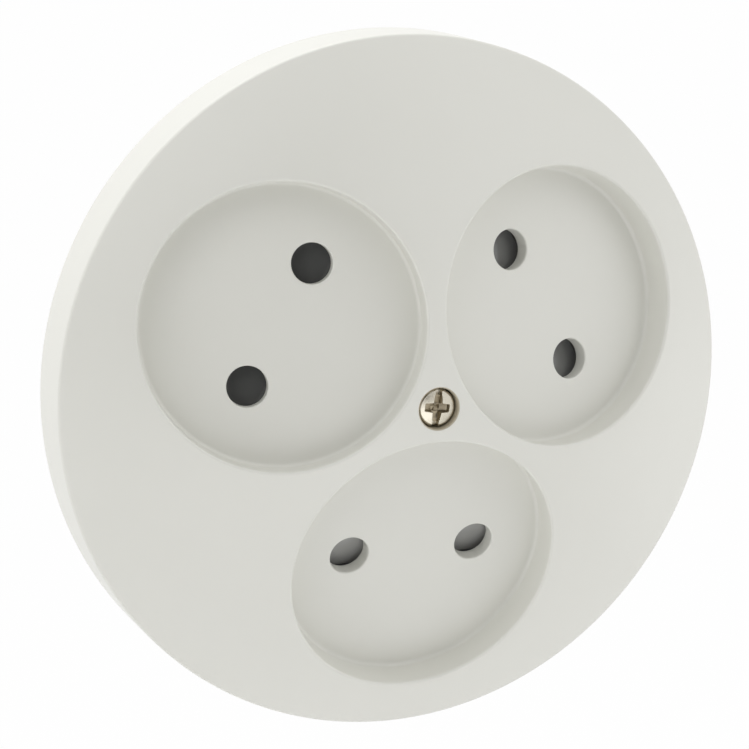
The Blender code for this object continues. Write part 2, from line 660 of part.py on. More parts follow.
def ramp_cutter(frame, side):
    """What is taken off a wing, so that a pin's end pushes the shutter inwards."""
    front = -FACET_DEPTH
    start = -SHUTTER_HALF + RAMP_FLAT
    outline = [(start, front), (SHUTTER_HALF, front - RAMP_DROP), (SHUTTER_HALF + PAST, front - RAMP_DROP),
               (SHUTTER_HALF + PAST, front + PAST), (start, front + PAST)]
    inner = SHUTTER_BODY_HALF
    ends = (inner, WING_SIDE + PAST) if side > 0 else (-WING_SIDE - PAST, -inner)
    return prism("ramp", outline, -ends[1], -ends[0], frame, upright())


def make_shutter(frame, name):
    """One socket's shutter: it slides towards the middle screw and lets both pins pass."""
    front = -FACET_DEPTH
    shutter = prism("shutter_" + name, shutter_outline(), front - SHUTTER_THICKNESS, front, frame)
    low = (WINDOW_IN, -WINDOW_HALF, -2 * POCKET_DEPTH)
    window = block("window", low, (WINDOW_OUT, WINDOW_HALF, PAST), frame)
    boolean(shutter, "DIFFERENCE", [window, ramp_cutter(frame, -1), ramp_cutter(frame, 1)])
    return finish(shutter, shutter_plastic())


def make_spring(frame, name):
    """A compression spring between the post and the outer end of the shutter's window."""
    start = POST_OUT + SEAT + SPRING_WIRE
    stop = WINDOW_OUT - SEAT - SPRING_WIRE
    steps = COIL_SIDES * SPRING_TURNS
    height = -FACET_DEPTH - SHUTTER_THICKNESS / 2
    bm = bmesh.new()
    rings = []
    for i in range(steps + 1):
        turn = 2 * pi * i / COIL_SIDES
        out = Vector((0, cos(turn), sin(turn)))
        middle = Vector((start + (stop - start) * i / steps, 0, height)) + out * SPRING_RADIUS
        ring = [2 * pi * k / WIRE_SIDES for k in range(WIRE_SIDES)]
        rings.append([bm.verts.new(middle + out * SPRING_WIRE * cos(t) + Vector((SPRING_WIRE * sin(t), 0, 0)))
                      for t in ring])
    for ring, other in zip(rings, rings[1:]):
        for k in range(WIRE_SIDES):
            bm.faces.new((ring[k], ring[(k + 1) % WIRE_SIDES], other[(k + 1) % WIRE_SIDES], other[k]))
    bm.faces.new(rings[0])
    bm.faces.new(rings[-1])
    return finish(place("shutter_spring_" + name, bm, frame), spring_steel(), 60)


def make_contact(frame, name, side):
    """A sprung clip that grips one pin: two leaves that pinch and flare, on a foot flat to the wall."""
    foot = (FOOT_FRONT - CONTACT_STRIP / 2 - FLOOR_HEIGHT) / cos(DISH_TILT)
    rise = CONTACT_HALF * tan(DISH_TILT)
    top = -CHAMBER_DEPTH - CONTACT_TOP_GAP
    neck = top - CONTACT_NECK
    shoulder = neck - CONTACT_SHOULDER
    leaf = [(CONTACT_FLARE - CONTACT_STRIP / 2, top), (CONTACT_PINCH, neck), (CONTACT_HALF, shoulder)]
    line = leaf + [(CONTACT_HALF, foot + rise), (-CONTACT_HALF, foot - rise)]
    line += [(-x, z) for x, z in leaf[::-1]]
    middle = side * PIN_PITCH / 2
    outline = strip(line, CONTACT_STRIP)
    clip = prism(name, outline, -middle - CONTACT_WIDTH / 2, -middle + CONTACT_WIDTH / 2, frame,
                 upright())
    return finish(clip, contact_brass())


def contact_place():
    """Distance and angle, seen from the plate's axis and the socket's own line, of a contact's foot."""
    drop = (FLOOR_HEIGHT - FOOT_FRONT) * tan(DISH_TILT)
    along = FLOOR_PLACE - drop
    return hypot(along, PIN_PITCH / 2), atan2(PIN_PITCH / 2, along)


def padded_arm(turn, distance):
    """The outline of an arm with a round pad at its end, from the ring out and back again."""
    half = BAR_ARM_WIDTH / 2
    start = sqrt(BAR_RING_OUTER**2 - half**2)
    corner = degrees(atan2(half, sqrt(BAR_PAD_RADIUS**2 - half**2)))
    pad = arc((distance, 0), BAR_PAD_RADIUS, corner - 180, 180 - corner, 12)
    outline = [(start, -half)] + pad + [(start, half)]
    return [at_angle(turn) @ Vector((x, y, 0)) for x, y in outline]


def square_arm(turn, reach):
    """The outline of an arm with a square end."""
    half = BAR_ARM_WIDTH / 2
    start = sqrt(BAR_RING_OUTER**2 - half**2)
    outline = [(start, -half), (reach, -half), (reach, half), (start, half)]
    return [at_angle(turn) @ Vector((x, y, 0)) for x, y in outline]


def bar_outline(pole, side):
    """The bar from the front: arms to three contacts and one terminal, joined by arcs of the ring."""
    distance, offset = contact_place()
    turns = [angle + side * offset for angle in SOCKET_ANGLES.values()]
    arms = [(turn, padded_arm(turn, distance)) for turn in turns]
    turn = TERMINAL_ANGLES[pole]
    arms.append((turn, square_arm(turn, TERMINAL_PLACE + TERMINAL_SIDE / 2)))
    arms.sort(key=lambda arm: arm[0] % (2 * pi))
    outline = []
    for arm, following in zip(arms, arms[1:] + arms[:1]):
        outline += [(point.x, point.y) for point in arm[1]]
        end = degrees(atan2(arm[1][-1].y, arm[1][-1].x)) % 360
        begin = degrees(atan2(following[1][0].y, following[1][0].x)) % 360
        begin += 360 if begin < end else 0
        outline += arc((0, 0), BAR_RING_OUTER, end, begin, 6)[1:-1]
    return outline


def make_bar(parent, pole, side, ring_front):
    """A bar that joins one pole's three contacts and its terminal: a ring with four arms."""
    ring_back = ring_front - BAR_THICKNESS
    bar = prism(pole + "_bar", bar_outline(pole, side), ring_back, BAR_FRONT, parent)
    cut = [rod("middle", BAR_RING_INNER, ring_back - PAST, BAR_FRONT + PAST, parent, 2 * SMALL_SIDES)]
    if ring_front != BAR_FRONT:
        step_inner = BAR_STEP_PLACE - BAR_THICKNESS / 2
        step_outer = BAR_STEP_PLACE + BAR_THICKNESS / 2
        cut.append(rod("inside", step_inner, ring_front, BAR_FRONT + PAST, parent, ROUND_SIDES))
        outside = [(step_outer, ring_back - PAST), (POT_RADIUS, ring_back - PAST), (POT_RADIUS, BAR_BACK),
                   (step_outer, BAR_BACK)]
        cut.append(turned("outside", outside, parent, ROUND_SIDES))
    boolean(bar, "DIFFERENCE", cut)
    return finish(bar, contact_brass())


def terminal_window(parent, angle, low, high):
    """An opening that a terminal block passes through."""
    half = TERMINAL_SIDE / 2 + SEAT
    return block("window", (TERMINAL_PLACE - half, -half, low), (TERMINAL_PLACE + half, half, high), parent,
                 at_angle(angle))


def back_screw_holes(parent, low, high):
    """Holes for the two screws that hold the back plate on."""
    places = [at_angle(angle, BACK_SCREW_PLACE) for angle in BACK_SCREW_ANGLES.values()]
    return [rod("hole", BACK_SCREW_RADIUS + SEAT, low, high, parent, matrix=matrix) for matrix in places]


def make_insulating_plate(parent):
    """The plate between the two bars, slotted where the neutral bar steps forward."""
    plate = rod("insulating_plate", POT_INNER - SEAT, INSULATION_BACK, INSULATION_FRONT, parent, MEDIUM_SIDES)
    low = INSULATION_BACK - PAST
    high = INSULATION_FRONT + PAST
    cut = [terminal_window(parent, angle, low, high) for angle in TERMINAL_ANGLES.values()]
    cut += back_screw_holes(parent, low, high)
    half = BAR_ARM_WIDTH / 2 + SEAT
    inner = sqrt((BAR_STEP_PLACE - BAR_THICKNESS / 2)**2 - (BAR_ARM_WIDTH / 2)**2) - SEAT
    outer = BAR_STEP_PLACE + BAR_THICKNESS / 2 + SEAT
    steps = [(angle - contact_place()[1], outer) for angle in SOCKET_ANGLES.values()]
    steps.append((TERMINAL_ANGLES["neutral"], TERMINAL_PLACE))
    cut += [block("slot", (inner, -half, low), (stop, half, high), parent, at_angle(turn))
            for turn, stop in steps]
    boolean(plate, "DIFFERENCE", cut)
    return finish(plate, insulating_plastic())


def make_back_plate(parent):
    """The plate that closes the back of the pot, with the terminals standing through it."""
    plate = rod("back_plate", POT_INNER - SEAT, BACK_PLATE_BACK, BACK_PLATE_FRONT, parent, MEDIUM_SIDES)
    low = BACK_PLATE_BACK - PAST
    high = BACK_PLATE_FRONT + PAST
    cut = [terminal_window(parent, angle, low, high) for angle in TERMINAL_ANGLES.values()]
    cut += back_screw_holes(parent, low, high)
    boolean(plate, "DIFFERENCE", cut)
    return finish(plate, insert_plastic())


def flipped(angle, distance, height):
    """Places a screw that points out of the wall, head at the back."""
    return at_angle(angle, distance) @ Matrix.Translation((0, 0, height)) @ Matrix.Rotation(pi, 4, "X")


def slotted_screw(name, radius, length, head_radius, head_height, matrix, parent):
    """A cheese-head screw with one slot, drawn head up with its seat at zero."""
    profile = screw_profile(radius, -length, 0, head_radius, head_height, 0.3 * head_height)
    screw = turned(name, profile, parent, SMALL_SIDES, matrix)
    slot = block("slot", (-2 * head_radius, -DRIVER_SLOT / 2, head_height / 2),
                 (2 * head_radius, DRIVER_SLOT / 2, 2 * head_height), parent, matrix)
    boolean(screw, "DIFFERENCE", [slot])
    return finish(screw, screw_nickel())


def make_back_screw(parent, name, angle):
    """A screw through back plate and insulating plate into the insert."""
    seat = BACK_PLATE_BACK - SEAT
    length = CEILING + BACK_SCREW_BITE - seat
    return slotted_screw("back_plate_screw_" + name, BACK_SCREW_RADIUS, length, BACK_SCREW_HEAD_RADIUS,
                         BACK_SCREW_HEAD_HEIGHT, flipped(angle, BACK_SCREW_PLACE, seat), parent)


def make_terminal(parent, pole):
    """A brass block with a hole for the wire across it and a screw's hole from the back."""
    angle = TERMINAL_ANGLES[pole]
    half = TERMINAL_SIDE / 2
    matrix = at_angle(angle, TERMINAL_PLACE)
    low = (-half, -half, TERMINAL_BACK)
    terminal = block(pole + "_terminal", low, (half, half, TERMINAL_FRONT), parent, matrix)
    across = matrix @ Matrix.Translation((0, 0, WIRE_HOLE_HEIGHT)) @ Matrix.Rotation(radians(90), 4, "X")
    wire = rod("wire", WIRE_HOLE_RADIUS, -TERMINAL_SIDE, TERMINAL_SIDE, parent, SMALL_SIDES, across)
    bore = rod("bore", TERMINAL_SCREW_RADIUS + SEAT, TERMINAL_BACK - PAST, WIRE_HOLE_HEIGHT, parent,
               matrix=matrix)
    boolean(terminal, "DIFFERENCE", [wire, bore])
    return finish(terminal, contact_brass())


def make_terminal_screw(parent, pole):
    """The screw that clamps the wire in its terminal."""
    seat = TERMINAL_BACK - SEAT
    length = WIRE_HOLE_HEIGHT - WIRE_HOLE_RADIUS / 3 - seat
    matrix = flipped(TERMINAL_ANGLES[pole], TERMINAL_PLACE, seat)
    return slotted_screw(pole + "_terminal_screw", TERMINAL_SCREW_RADIUS, length, TERMINAL_SCREW_HEAD_RADIUS,
                         TERMINAL_SCREW_HEAD_HEIGHT, matrix, parent)


def main():
    clear_scene()
    plate = plate_frame()
    frames = {name: socket_frame(name, angle, plate) for name, angle in SOCKET_ANGLES.items()}
    bpy.context.view_layer.update()
    make_cover(plate, frames)
    make_cover_screw(plate)
    make_base(plate, frames)
    make_threaded_insert(plate)
    make_mounting_plate(plate)
    make_rivet(plate, "right", 0)
    make_rivet(plate, "left", pi)
    for name, frame in frames.items():
        make_shutter(frame, name)
        make_spring(frame, name)
        make_contact(frame, "live_contact_" + name, 1)
        make_contact(frame, "neutral_contact_" + name, -1)
    make_bar(plate, "live", 1, BAR_FRONT)
    make_bar(plate, "neutral", -1, LOW_BAR_FRONT)
    make_insulating_plate(plate)
    make_back_plate(plate)
    for name, angle in BACK_SCREW_ANGLES.items():
        make_back_screw(plate, name, angle)
    for pole in TERMINAL_ANGLES:
        make_terminal(plate, pole)
        make_terminal_screw(plate, pole)


main()
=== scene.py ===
"""The look of a round flush wall socket with three dished outlets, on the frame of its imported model.

Two frames are used besides the model's own, in which -Y faces the room and +Z is up. In the plate's
frame x is right, y is up and z comes out of the wall. Each outlet has a frame at the middle of its
dish's floor: x runs down the slope away from the middle screw, y along the pins, z out of the dish.
Sizes are in metres.
"""

import json
from math import asin, atan2, cos, degrees, hypot, pi, radians, sin, sqrt

import bmesh
import bpy
import numpy as np
from mathutils import Matrix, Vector
from mathutils.geometry import delaunay_2d_cdt

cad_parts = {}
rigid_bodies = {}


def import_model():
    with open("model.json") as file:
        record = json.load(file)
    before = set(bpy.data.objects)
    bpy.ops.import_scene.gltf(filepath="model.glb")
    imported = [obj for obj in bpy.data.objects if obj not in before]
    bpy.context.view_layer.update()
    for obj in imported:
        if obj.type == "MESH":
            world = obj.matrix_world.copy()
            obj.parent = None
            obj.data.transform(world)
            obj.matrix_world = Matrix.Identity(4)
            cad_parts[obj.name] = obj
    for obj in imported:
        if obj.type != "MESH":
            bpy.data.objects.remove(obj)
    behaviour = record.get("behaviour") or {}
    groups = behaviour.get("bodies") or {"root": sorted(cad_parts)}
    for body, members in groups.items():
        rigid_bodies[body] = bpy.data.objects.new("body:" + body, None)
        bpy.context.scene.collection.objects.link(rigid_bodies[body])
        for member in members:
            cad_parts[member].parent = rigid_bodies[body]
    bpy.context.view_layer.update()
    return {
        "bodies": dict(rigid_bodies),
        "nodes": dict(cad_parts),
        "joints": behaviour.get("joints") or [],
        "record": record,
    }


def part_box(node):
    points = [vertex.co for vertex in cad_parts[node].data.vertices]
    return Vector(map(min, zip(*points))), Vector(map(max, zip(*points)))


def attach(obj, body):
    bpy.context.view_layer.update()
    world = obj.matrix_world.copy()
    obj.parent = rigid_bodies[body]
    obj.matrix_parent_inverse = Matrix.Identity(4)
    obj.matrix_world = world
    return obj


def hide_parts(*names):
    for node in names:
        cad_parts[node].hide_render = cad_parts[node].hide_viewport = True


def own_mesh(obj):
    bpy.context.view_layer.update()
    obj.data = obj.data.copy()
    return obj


MM = 0.001

# Cover
SKIRT_RADIUS = 49.955 * MM
RIM_RADIUS = 49.82 * MM
RIM_HEIGHT = 9.3 * MM
RIM_FILLET = 0.7 * MM
CROWN_HEIGHT = 23.045 * MM
DOME_RADIUS = 96.937 * MM
DOME_CENTRE = CROWN_HEIGHT - DOME_RADIUS
COVER_WALL = 2.2 * MM
RIB_THICKNESS = 1.6 * MM

# Dishes and pin holes
DISH_RADIUS = 19.6 * MM
DISH_DEPTH = 4.9 * MM
DISH_GAP = 2.11 * MM
DISH_LIP = 0.38 * MM
DISH_COVE = 0.6 * MM
DISH_FLOOR = 2.1 * MM
DISH_WALL = 1.6 * MM
PIN_PLACE = 9.5 * MM
PIN_HOLE_RADIUS = 2.86 * MM
PIN_HOLE_EDGE = 0.22 * MM
PIN_HOLE_ROW = 0.1 * MM
DISH_TILT = asin((2 * DISH_RADIUS + DISH_GAP) / sqrt(3) / sqrt(DOME_RADIUS**2 - DISH_RADIUS**2))
FLOOR_DISTANCE = sqrt(DOME_RADIUS**2 - DISH_RADIUS**2) - DISH_DEPTH
FLOOR_PLACE = FLOOR_DISTANCE * sin(DISH_TILT)
FLOOR_HEIGHT = DOME_CENTRE + FLOOR_DISTANCE * cos(DISH_TILT)
OUTLETS = {"left": radians(150), "right": radians(30), "lower": radians(270)}
SEAMS = [radians(90), radians(210), radians(330)]

# Sides of the round forms
RIM_SIDES = 320
DISH_SIDES = 240
HOLE_SIDES = 96
HOLLOW_SIDES = 160
CUP_SIDES = 96
COLUMN_SIDES = 50
SCREW_HEAD_SIDES = 192
SMALL_SCREW_SIDES = 96
BORE_SIDES = 48
RING_SIDES = 240
POT_SIDES = 200
BACK_HOLE_SIDES = 40
WIRE_SIDES = 10
COIL_STEPS = 40

# Distances between rows of points
NET_SPACING = 1.25 * MM
FLOOR_NET_SPACING = 3 * MM
EDGE_ROW = 0.15 * MM
DOME_ROW = 0.4 * MM

# Middle screw
HEAD_SEAT = 20.6 * MM
HEAD_RADIUS = 2.7 * MM
HEAD_HEIGHT = 1.9 * MM
HEAD_CORNER = 0.45 * MM
HEAD_DOME = 0.12
RECESS_TURN = radians(-7)
RECESS_ARM = 1.75 * MM
RECESS_WIDTH = 1.3 * MM
RECESS_DEPTH = 1.4 * MM
RECESS_TAPER = 0.55
SLOT_DEPTH = 0.7 * MM
SLOT_WIDTH = 0.85 * MM
SHANK_RADIUS = 1.5 * MM
SHANK_LENGTH = 13.7 * MM
THREAD_PITCH = 0.5 * MM
THREAD_DEPTH = 0.16
BORE_RADIUS = 2.88 * MM
BORE_LIP = 0.25 * MM
BORE_COVE = 0.1 * MM
BORE_FLOOR = 20.3 * MM
CLEARANCE_RADIUS = 1.8 * MM
CLEARANCE_EDGE = 0.1 * MM
COLUMN_RADIUS = 8.5 * MM
COLUMN_BOTTOM = 16.29 * MM

# Hidden insert, where the cover's inside has to clear it
TURRET_RADIUS = 31.0 * MM
FACET_DEPTH = 2.4 * MM
RIB_LOW = 5.0 * MM
RIB_START = 16 * MM
RIB_GAP = 0.8 * MM
RIB_LIFT = 0.9 * MM

# Pieces at the back
SEAT = 0.3 * MM
POT_INNER = hypot((2 * DISH_RADIUS + DISH_GAP) / sqrt(3), 11.7 * MM) - 2.165 * MM
POT_RADIUS = POT_INNER + 1.6 * MM
BOX_SCREW_PLACE = POT_RADIUS + 4.0 * MM
BOX_SLOT_WIDTH = 3.6 * MM
BOX_SLOT_HALF_ANGLE = radians(8)
PLATE_RADIUS = BOX_SCREW_PLACE + 12.0 * MM
PLATE_THICKNESS = 1.0 * MM
PLATE_EDGE = 0.16 * MM
RIVET_PLACE = BOX_SCREW_PLACE + 6.8 * MM
RIVET_RADIUS = 1.5 * MM
RIVET_HEAD_RADIUS = 2.8 * MM
RIVET_HEAD_HEIGHT = 1.0 * MM
RIVET_EDGE = 0.15 * MM
FLANGE_FRONT = 3.9 * MM
TERMINAL_HALF = 4.0 * MM
TERMINAL_CORNER = 0.5 * MM
TERMINAL_EDGE = 0.3 * MM
WINDOW_CORNER = 0.4 * MM
TERMINAL_PLACE = POT_INNER - 2.4 * MM - TERMINAL_HALF
TERMINAL_ANGLES = {"live": radians(210), "neutral": radians(330)}
WIRE_HOLE_RADIUS = 1.5 * MM
WIRE_HOLE_DROP = 2.3 * MM
TERMINAL_SCREW = (1.3 * MM, 2.6 * MM, 1.8 * MM)
SMALL_SLOT_HALF = 0.35 * MM
BACK_PLATE_EDGE = 0.25 * MM
BACK_SCREW = (1.2 * MM, 2.3 * MM, 1.5 * MM)
BACK_SCREW_ANGLES = {"upper": radians(90), "lower": radians(270)}
BACK_SCREW_PLACE = POT_INNER - 3.9 * MM

# Springs, along and across each outlet's frame
SPRING_WIRE = 0.2 * MM
SPRING_RADIUS = 1.7 * MM
SPRING_TURNS = 5
SPRING_START = -6.8 * MM
SPRING_STOP = 2.2 * MM
SPRING_DEPTH = FACET_DEPTH + 2.25 * MM

# Painted shade and light in colours, and the shutters' sheen
# Painted shade in the middle screw's recess: its brown, how strong, and the depths and radii over which it
# comes in
RECESS_SHADE_BROWN = (0.24, 0.195, 0.125, 1)
RECESS_SHADE = 0.85
RECESS_SHADE_DEPTHS = (0.2 * MM, 0.9 * MM)
RECESS_SHADE_RADII = (2.3 * MM, 1.9 * MM)
# Painted shadow on the counterbore's wall round the screw: its brown, how strong, and where it starts
BORE_SHADE_BROWN = (0.36, 0.3, 0.19, 1)
BORE_SHADE = 0.8
BORE_SHADE_START = 0.1 * MM
# Painted light: the shutters' colour turns lighter towards the bottom, between these heights
LOW_PAINTED_LIGHT_GREY = (0.29, 0.29, 0.284, 1)
PAINTED_LIGHT_TOP = -2 * MM
PAINTED_LIGHT_BOTTOM = -19 * MM
SHEEN_ROUGHNESS = 0.67
SHEEN_TINT = (0.95, 0.95, 0.93, 1)

# Studio
WORLD_LIGHT = 0.782
FRONT = (-0.357, -0.908, 0.224)
FRONT_INNER = radians(15)
FRONT_OUTER = radians(45)
FRONT_LEVEL = 0.0
FLOOR_LEVEL = -0.6
FLOOR_HALF = 9.0
FLOOR_GLOW = 0.975
LIGHT_DISTANCE = 1.1
LIGHT_SIZE = 0.9
LIGHTS = [
    ("right", (1, -0.15, 0), 0.66),
    ("low_front", (0, -0.85, -0.5), 1.78),
    ("low_left", (-0.85, -0.2, -0.48), 2.24),
    ("low_right", (0.85, -0.2, -0.48), 0.98),
    ("high_back", (-0.1, 0.5, 0.85), 3.89),
    ("high_back_left", (-0.6, 0.5, 0.6), 1.84),
    ("high_front_left", (-0.6, -0.55, 0.6), 1.91),
    ("high_front_right", (0.6, -0.55, 0.6), 1.32),
]

# Camera
CAMERA_LENS = 119.69
CAMERA_PLACE = (-0.12873, -0.32756, 0.08071)
CAMERA_RIGHT = (0.93119, -0.36454, -0.00005)
CAMERA_UP = (0.0816, 0.20831, 0.97465)

PLATE = np.array([[1, 0, 0, 0], [0, 0, -1, 0], [0, 1, 0, 0], [0, 0, 0, 1]], float)


def outlet_frame(angle):
    """The outlet's frame as a 4 x 4 matrix: the tilt about y, then the turn about the plate's axis."""
    tilt, place = DISH_TILT, FLOOR_PLACE
    local = np.array([
        [cos(tilt) * cos(angle), -sin(angle), sin(tilt) * cos(angle), place * cos(angle)],
        [cos(tilt) * sin(angle), cos(angle), sin(tilt) * sin(angle), place * sin(angle)],
        [-sin(tilt), 0, cos(tilt), FLOOR_HEIGHT],
        [0, 0, 0, 1]])
    return PLATE @ local


def moved(points, matrix):
    """Points of a frame in the model's frame: the matrix's turn, then its shift."""
    return np.asarray(points, float) @ matrix[:3, :3].T + matrix[:3, 3]


def shifted(matrix, x=0.0, y=0.0, z=0.0):
    """The same frame, moved along its own axes."""
    shift = np.eye(4)
    shift[:3, 3] = (x, y, z)
    return matrix @ shift


def turned_about_z(matrix, angle):
    """The same frame, turned about its own z."""
    turn = np.eye(4)
    turn[:2, :2] = [[cos(angle), -sin(angle)], [sin(angle), cos(angle)]]
    return matrix @ turn


def flipped(matrix):
    """The same frame, turned over about its own x."""
    return matrix @ np.diag([1.0, -1.0, -1.0, 1.0])


def arc(centre, radius, start, stop, steps):
    """Points of a circle's arc: centre + radius * (cos a, sin a), with a even between two angles in
    degrees."""
    a = np.radians(np.linspace(start, stop, steps + 1))
    return np.stack([centre[0] + radius * np.cos(a), centre[1] + radius * np.sin(a)], 1)


def circle(radius, height, count):
    """A ring of points: (radius cos t, radius sin t, height), with t even over one turn."""
    t = 2 * pi * np.arange(count) / count
    return np.stack([radius * np.cos(t), radius * np.sin(t), np.full(count, height)], 1)


class Skin:
    """Gathers points and faces of one closed surface."""

    def __init__(self):
        self.points = np.zeros((0, 3))
        self.faces = []

    def add(self, points):
        """Adds points and returns their numbers."""
        start = len(self.points)
        self.points = np.concatenate([self.points, points])
        return np.arange(start, len(self.points))

    def bridge(self, a, b):
        """Quads between two rings of equally many points."""
        self.faces += np.stack([a, np.roll(a, -1), np.roll(b, -1), b], 1).tolist()

    def fan(self, ring, centre):
        """Triangles from a ring to one point."""
        middle = self.add(np.array([centre]))
        self.faces += np.stack([ring, np.roll(ring, -1), np.full(len(ring), middle[0])], 1).tolist()

    def sweep(self, ring, profile, count, matrix):
        """Carries a ring on through the rings of a half-section, each point (r, z) turned about the frame's
        z, and returns the last ring."""
        for radius, height in profile:
            following = self.add(moved(circle(radius, height, count), matrix))
            self.bridge(ring, following)
            ring = following
        return ring

    def fill(self, loops, inner, flat, keep):
        """Delaunay triangles between closed loops and inner points, drawn in the plane that flat gives."""
        numbers = np.concatenate(list(loops) + [self.add(inner)])
        plane = flat(self.points[numbers])
        ends = np.cumsum([len(loop) for loop in loops])
        edges = [np.stack([np.arange(e - len(l), e), np.roll(np.arange(e - len(l), e), -1)], 1)
                 for e, l in zip(ends, loops)]
        out = delaunay_2d_cdt(plane.tolist(), np.concatenate(edges).tolist(), [], 0, 1e-9)
        back = numbers[np.array(out[3])[:, 0]]
        triangles = np.array(out[2])
        centres = np.array([v[:] for v in out[0]])[triangles].mean(1)
        self.faces += back[triangles[keep(centres)]].tolist()


def new_object(name, points, faces, angle=30.0):
    """An object of points and faces, turned outwards and smooth up to an angle."""
    mesh = bpy.data.meshes.new(name)
    mesh.from_pydata(np.asarray(points).tolist(), [], faces)
    bm = bmesh.new()
    bm.from_mesh(mesh)
    bmesh.ops.recalc_face_normals(bm, faces=bm.faces)
    bm.to_mesh(mesh)
    bm.free()
    item = bpy.data.objects.new(name, mesh)
    bpy.context.collection.objects.link(item)
    smooth(item, angle)
    return item


def smooth(item, angle):
    """Smooth shading between edges sharper than an angle."""
    item.data.shade_smooth()
    item.data.set_sharp_from_angle(angle=radians(angle))


def revolved(name, profile, count, matrix, shape=None, angle=30.0):
    """A half-section (r, z) that starts and ends on the axis, turned about z: (r cos t, r sin t, z).
    shape may move the points of the rings, given as rows of rings."""
    profile = np.asarray(profile, float)
    t = 2 * pi * np.arange(count) / count
    r, z = profile[1:-1, :1], profile[1:-1, 1:]
    rings = np.stack([r * np.cos(t), r * np.sin(t), z + 0 * t], 2)
    ends = np.array([[0, 0, profile[0, 1]], [0, 0, profile[-1, 1]]])
    if shape is not None:
        rings = shape(rings)
        ends = shape(ends[:, None, :])[:, 0]
    rows = len(rings)
    number = np.arange(rows * count).reshape(rows, count)
    right = np.roll(number, -1, 1)
    quads = np.stack([number[:-1], right[:-1], right[1:], number[1:]], 2).reshape(-1, 4)
    first = np.stack([number[0], right[0], np.full(count, rows * count)], 1)
    last = np.stack([number[-1], right[-1], np.full(count, rows * count + 1)], 1)
    points = moved(np.concatenate([rings.reshape(-1, 3), ends]), matrix)
    return new_object(name, points, quads.tolist() + first.tolist() + last.tolist(), angle)


def cut(target, tools):
    """Takes the tools' room away from the target."""
    for tool in tools:
        modifier = target.modifiers.new("cut", "BOOLEAN")
        modifier.operation = "DIFFERENCE"
        modifier.solver = "EXACT"
        modifier.object = tool
    bpy.context.view_layer.update()
    mesh = bpy.data.meshes.new_from_object(target.evaluated_get(bpy.context.evaluated_depsgraph_get()))
    target.modifiers.clear()
    target.data = mesh
    for tool in tools:
        bpy.data.objects.remove(tool)
    return target


def recess(radius, lip, floor_distance, cove):
    """Half-section of a round recess square to the dome, from the dome's surface to the floor.
    The lip's circle touches the dome and the wall, and the cove's circle the wall and the floor."""
    middle_radius = radius + lip
    middle = sqrt((DOME_RADIUS - lip)**2 - middle_radius**2)
    end = degrees(atan2(middle, middle_radius))
    top = arc((middle_radius, middle - floor_distance), lip, end, 180, 8)
    bottom = arc((radius - cove, cove), cove, 0, -90, 7)
    supports = np.array([[radius, top[-1, 1] - EDGE_ROW], [radius, bottom[0, 1] + EDGE_ROW]])
    return np.concatenate([top, supports, bottom])


def dome_height(x, y):
    """Height of the sphere above the wall plane at x, y."""
    return DOME_CENTRE + np.sqrt(DOME_RADIUS**2 - x**2 - y**2)


def hexagons(radius, spacing):
    """Points of a hexagonal grid within a circle: every second row is shifted by half the spacing."""
    rows = int(radius / spacing * 1.2) + 2
    i, j = np.meshgrid(np.arange(-rows, rows + 1), np.arange(-rows, rows + 1))
    x = spacing * (i + 0.5 * (j % 2))
    y = spacing * sqrt(0.75) * j
    keep = x**2 + y**2 < radius**2
    return np.stack([x[keep], y[keep]], 1)


def axis_of(angle):
    """Unit vector of an outlet's axis in the plate's frame."""
    return np.array([sin(DISH_TILT) * cos(angle), sin(DISH_TILT) * sin(angle), cos(DISH_TILT)])


def away_from(points, axis, radius):
    """Distance along the sphere from the circle of a radius about an axis; negative inside it."""
    direction = (points - np.array([0, 0, DOME_CENTRE])) / DOME_RADIUS
    return DOME_RADIUS * (np.arccos(np.clip(direction @ axis, -1, 1)) - asin(radius / DOME_RADIUS))


def to_plate(points):
    """Points of the model's frame in the plate's frame."""
    return np.stack([points[:, 0], points[:, 2], -points[:, 1]], 1)


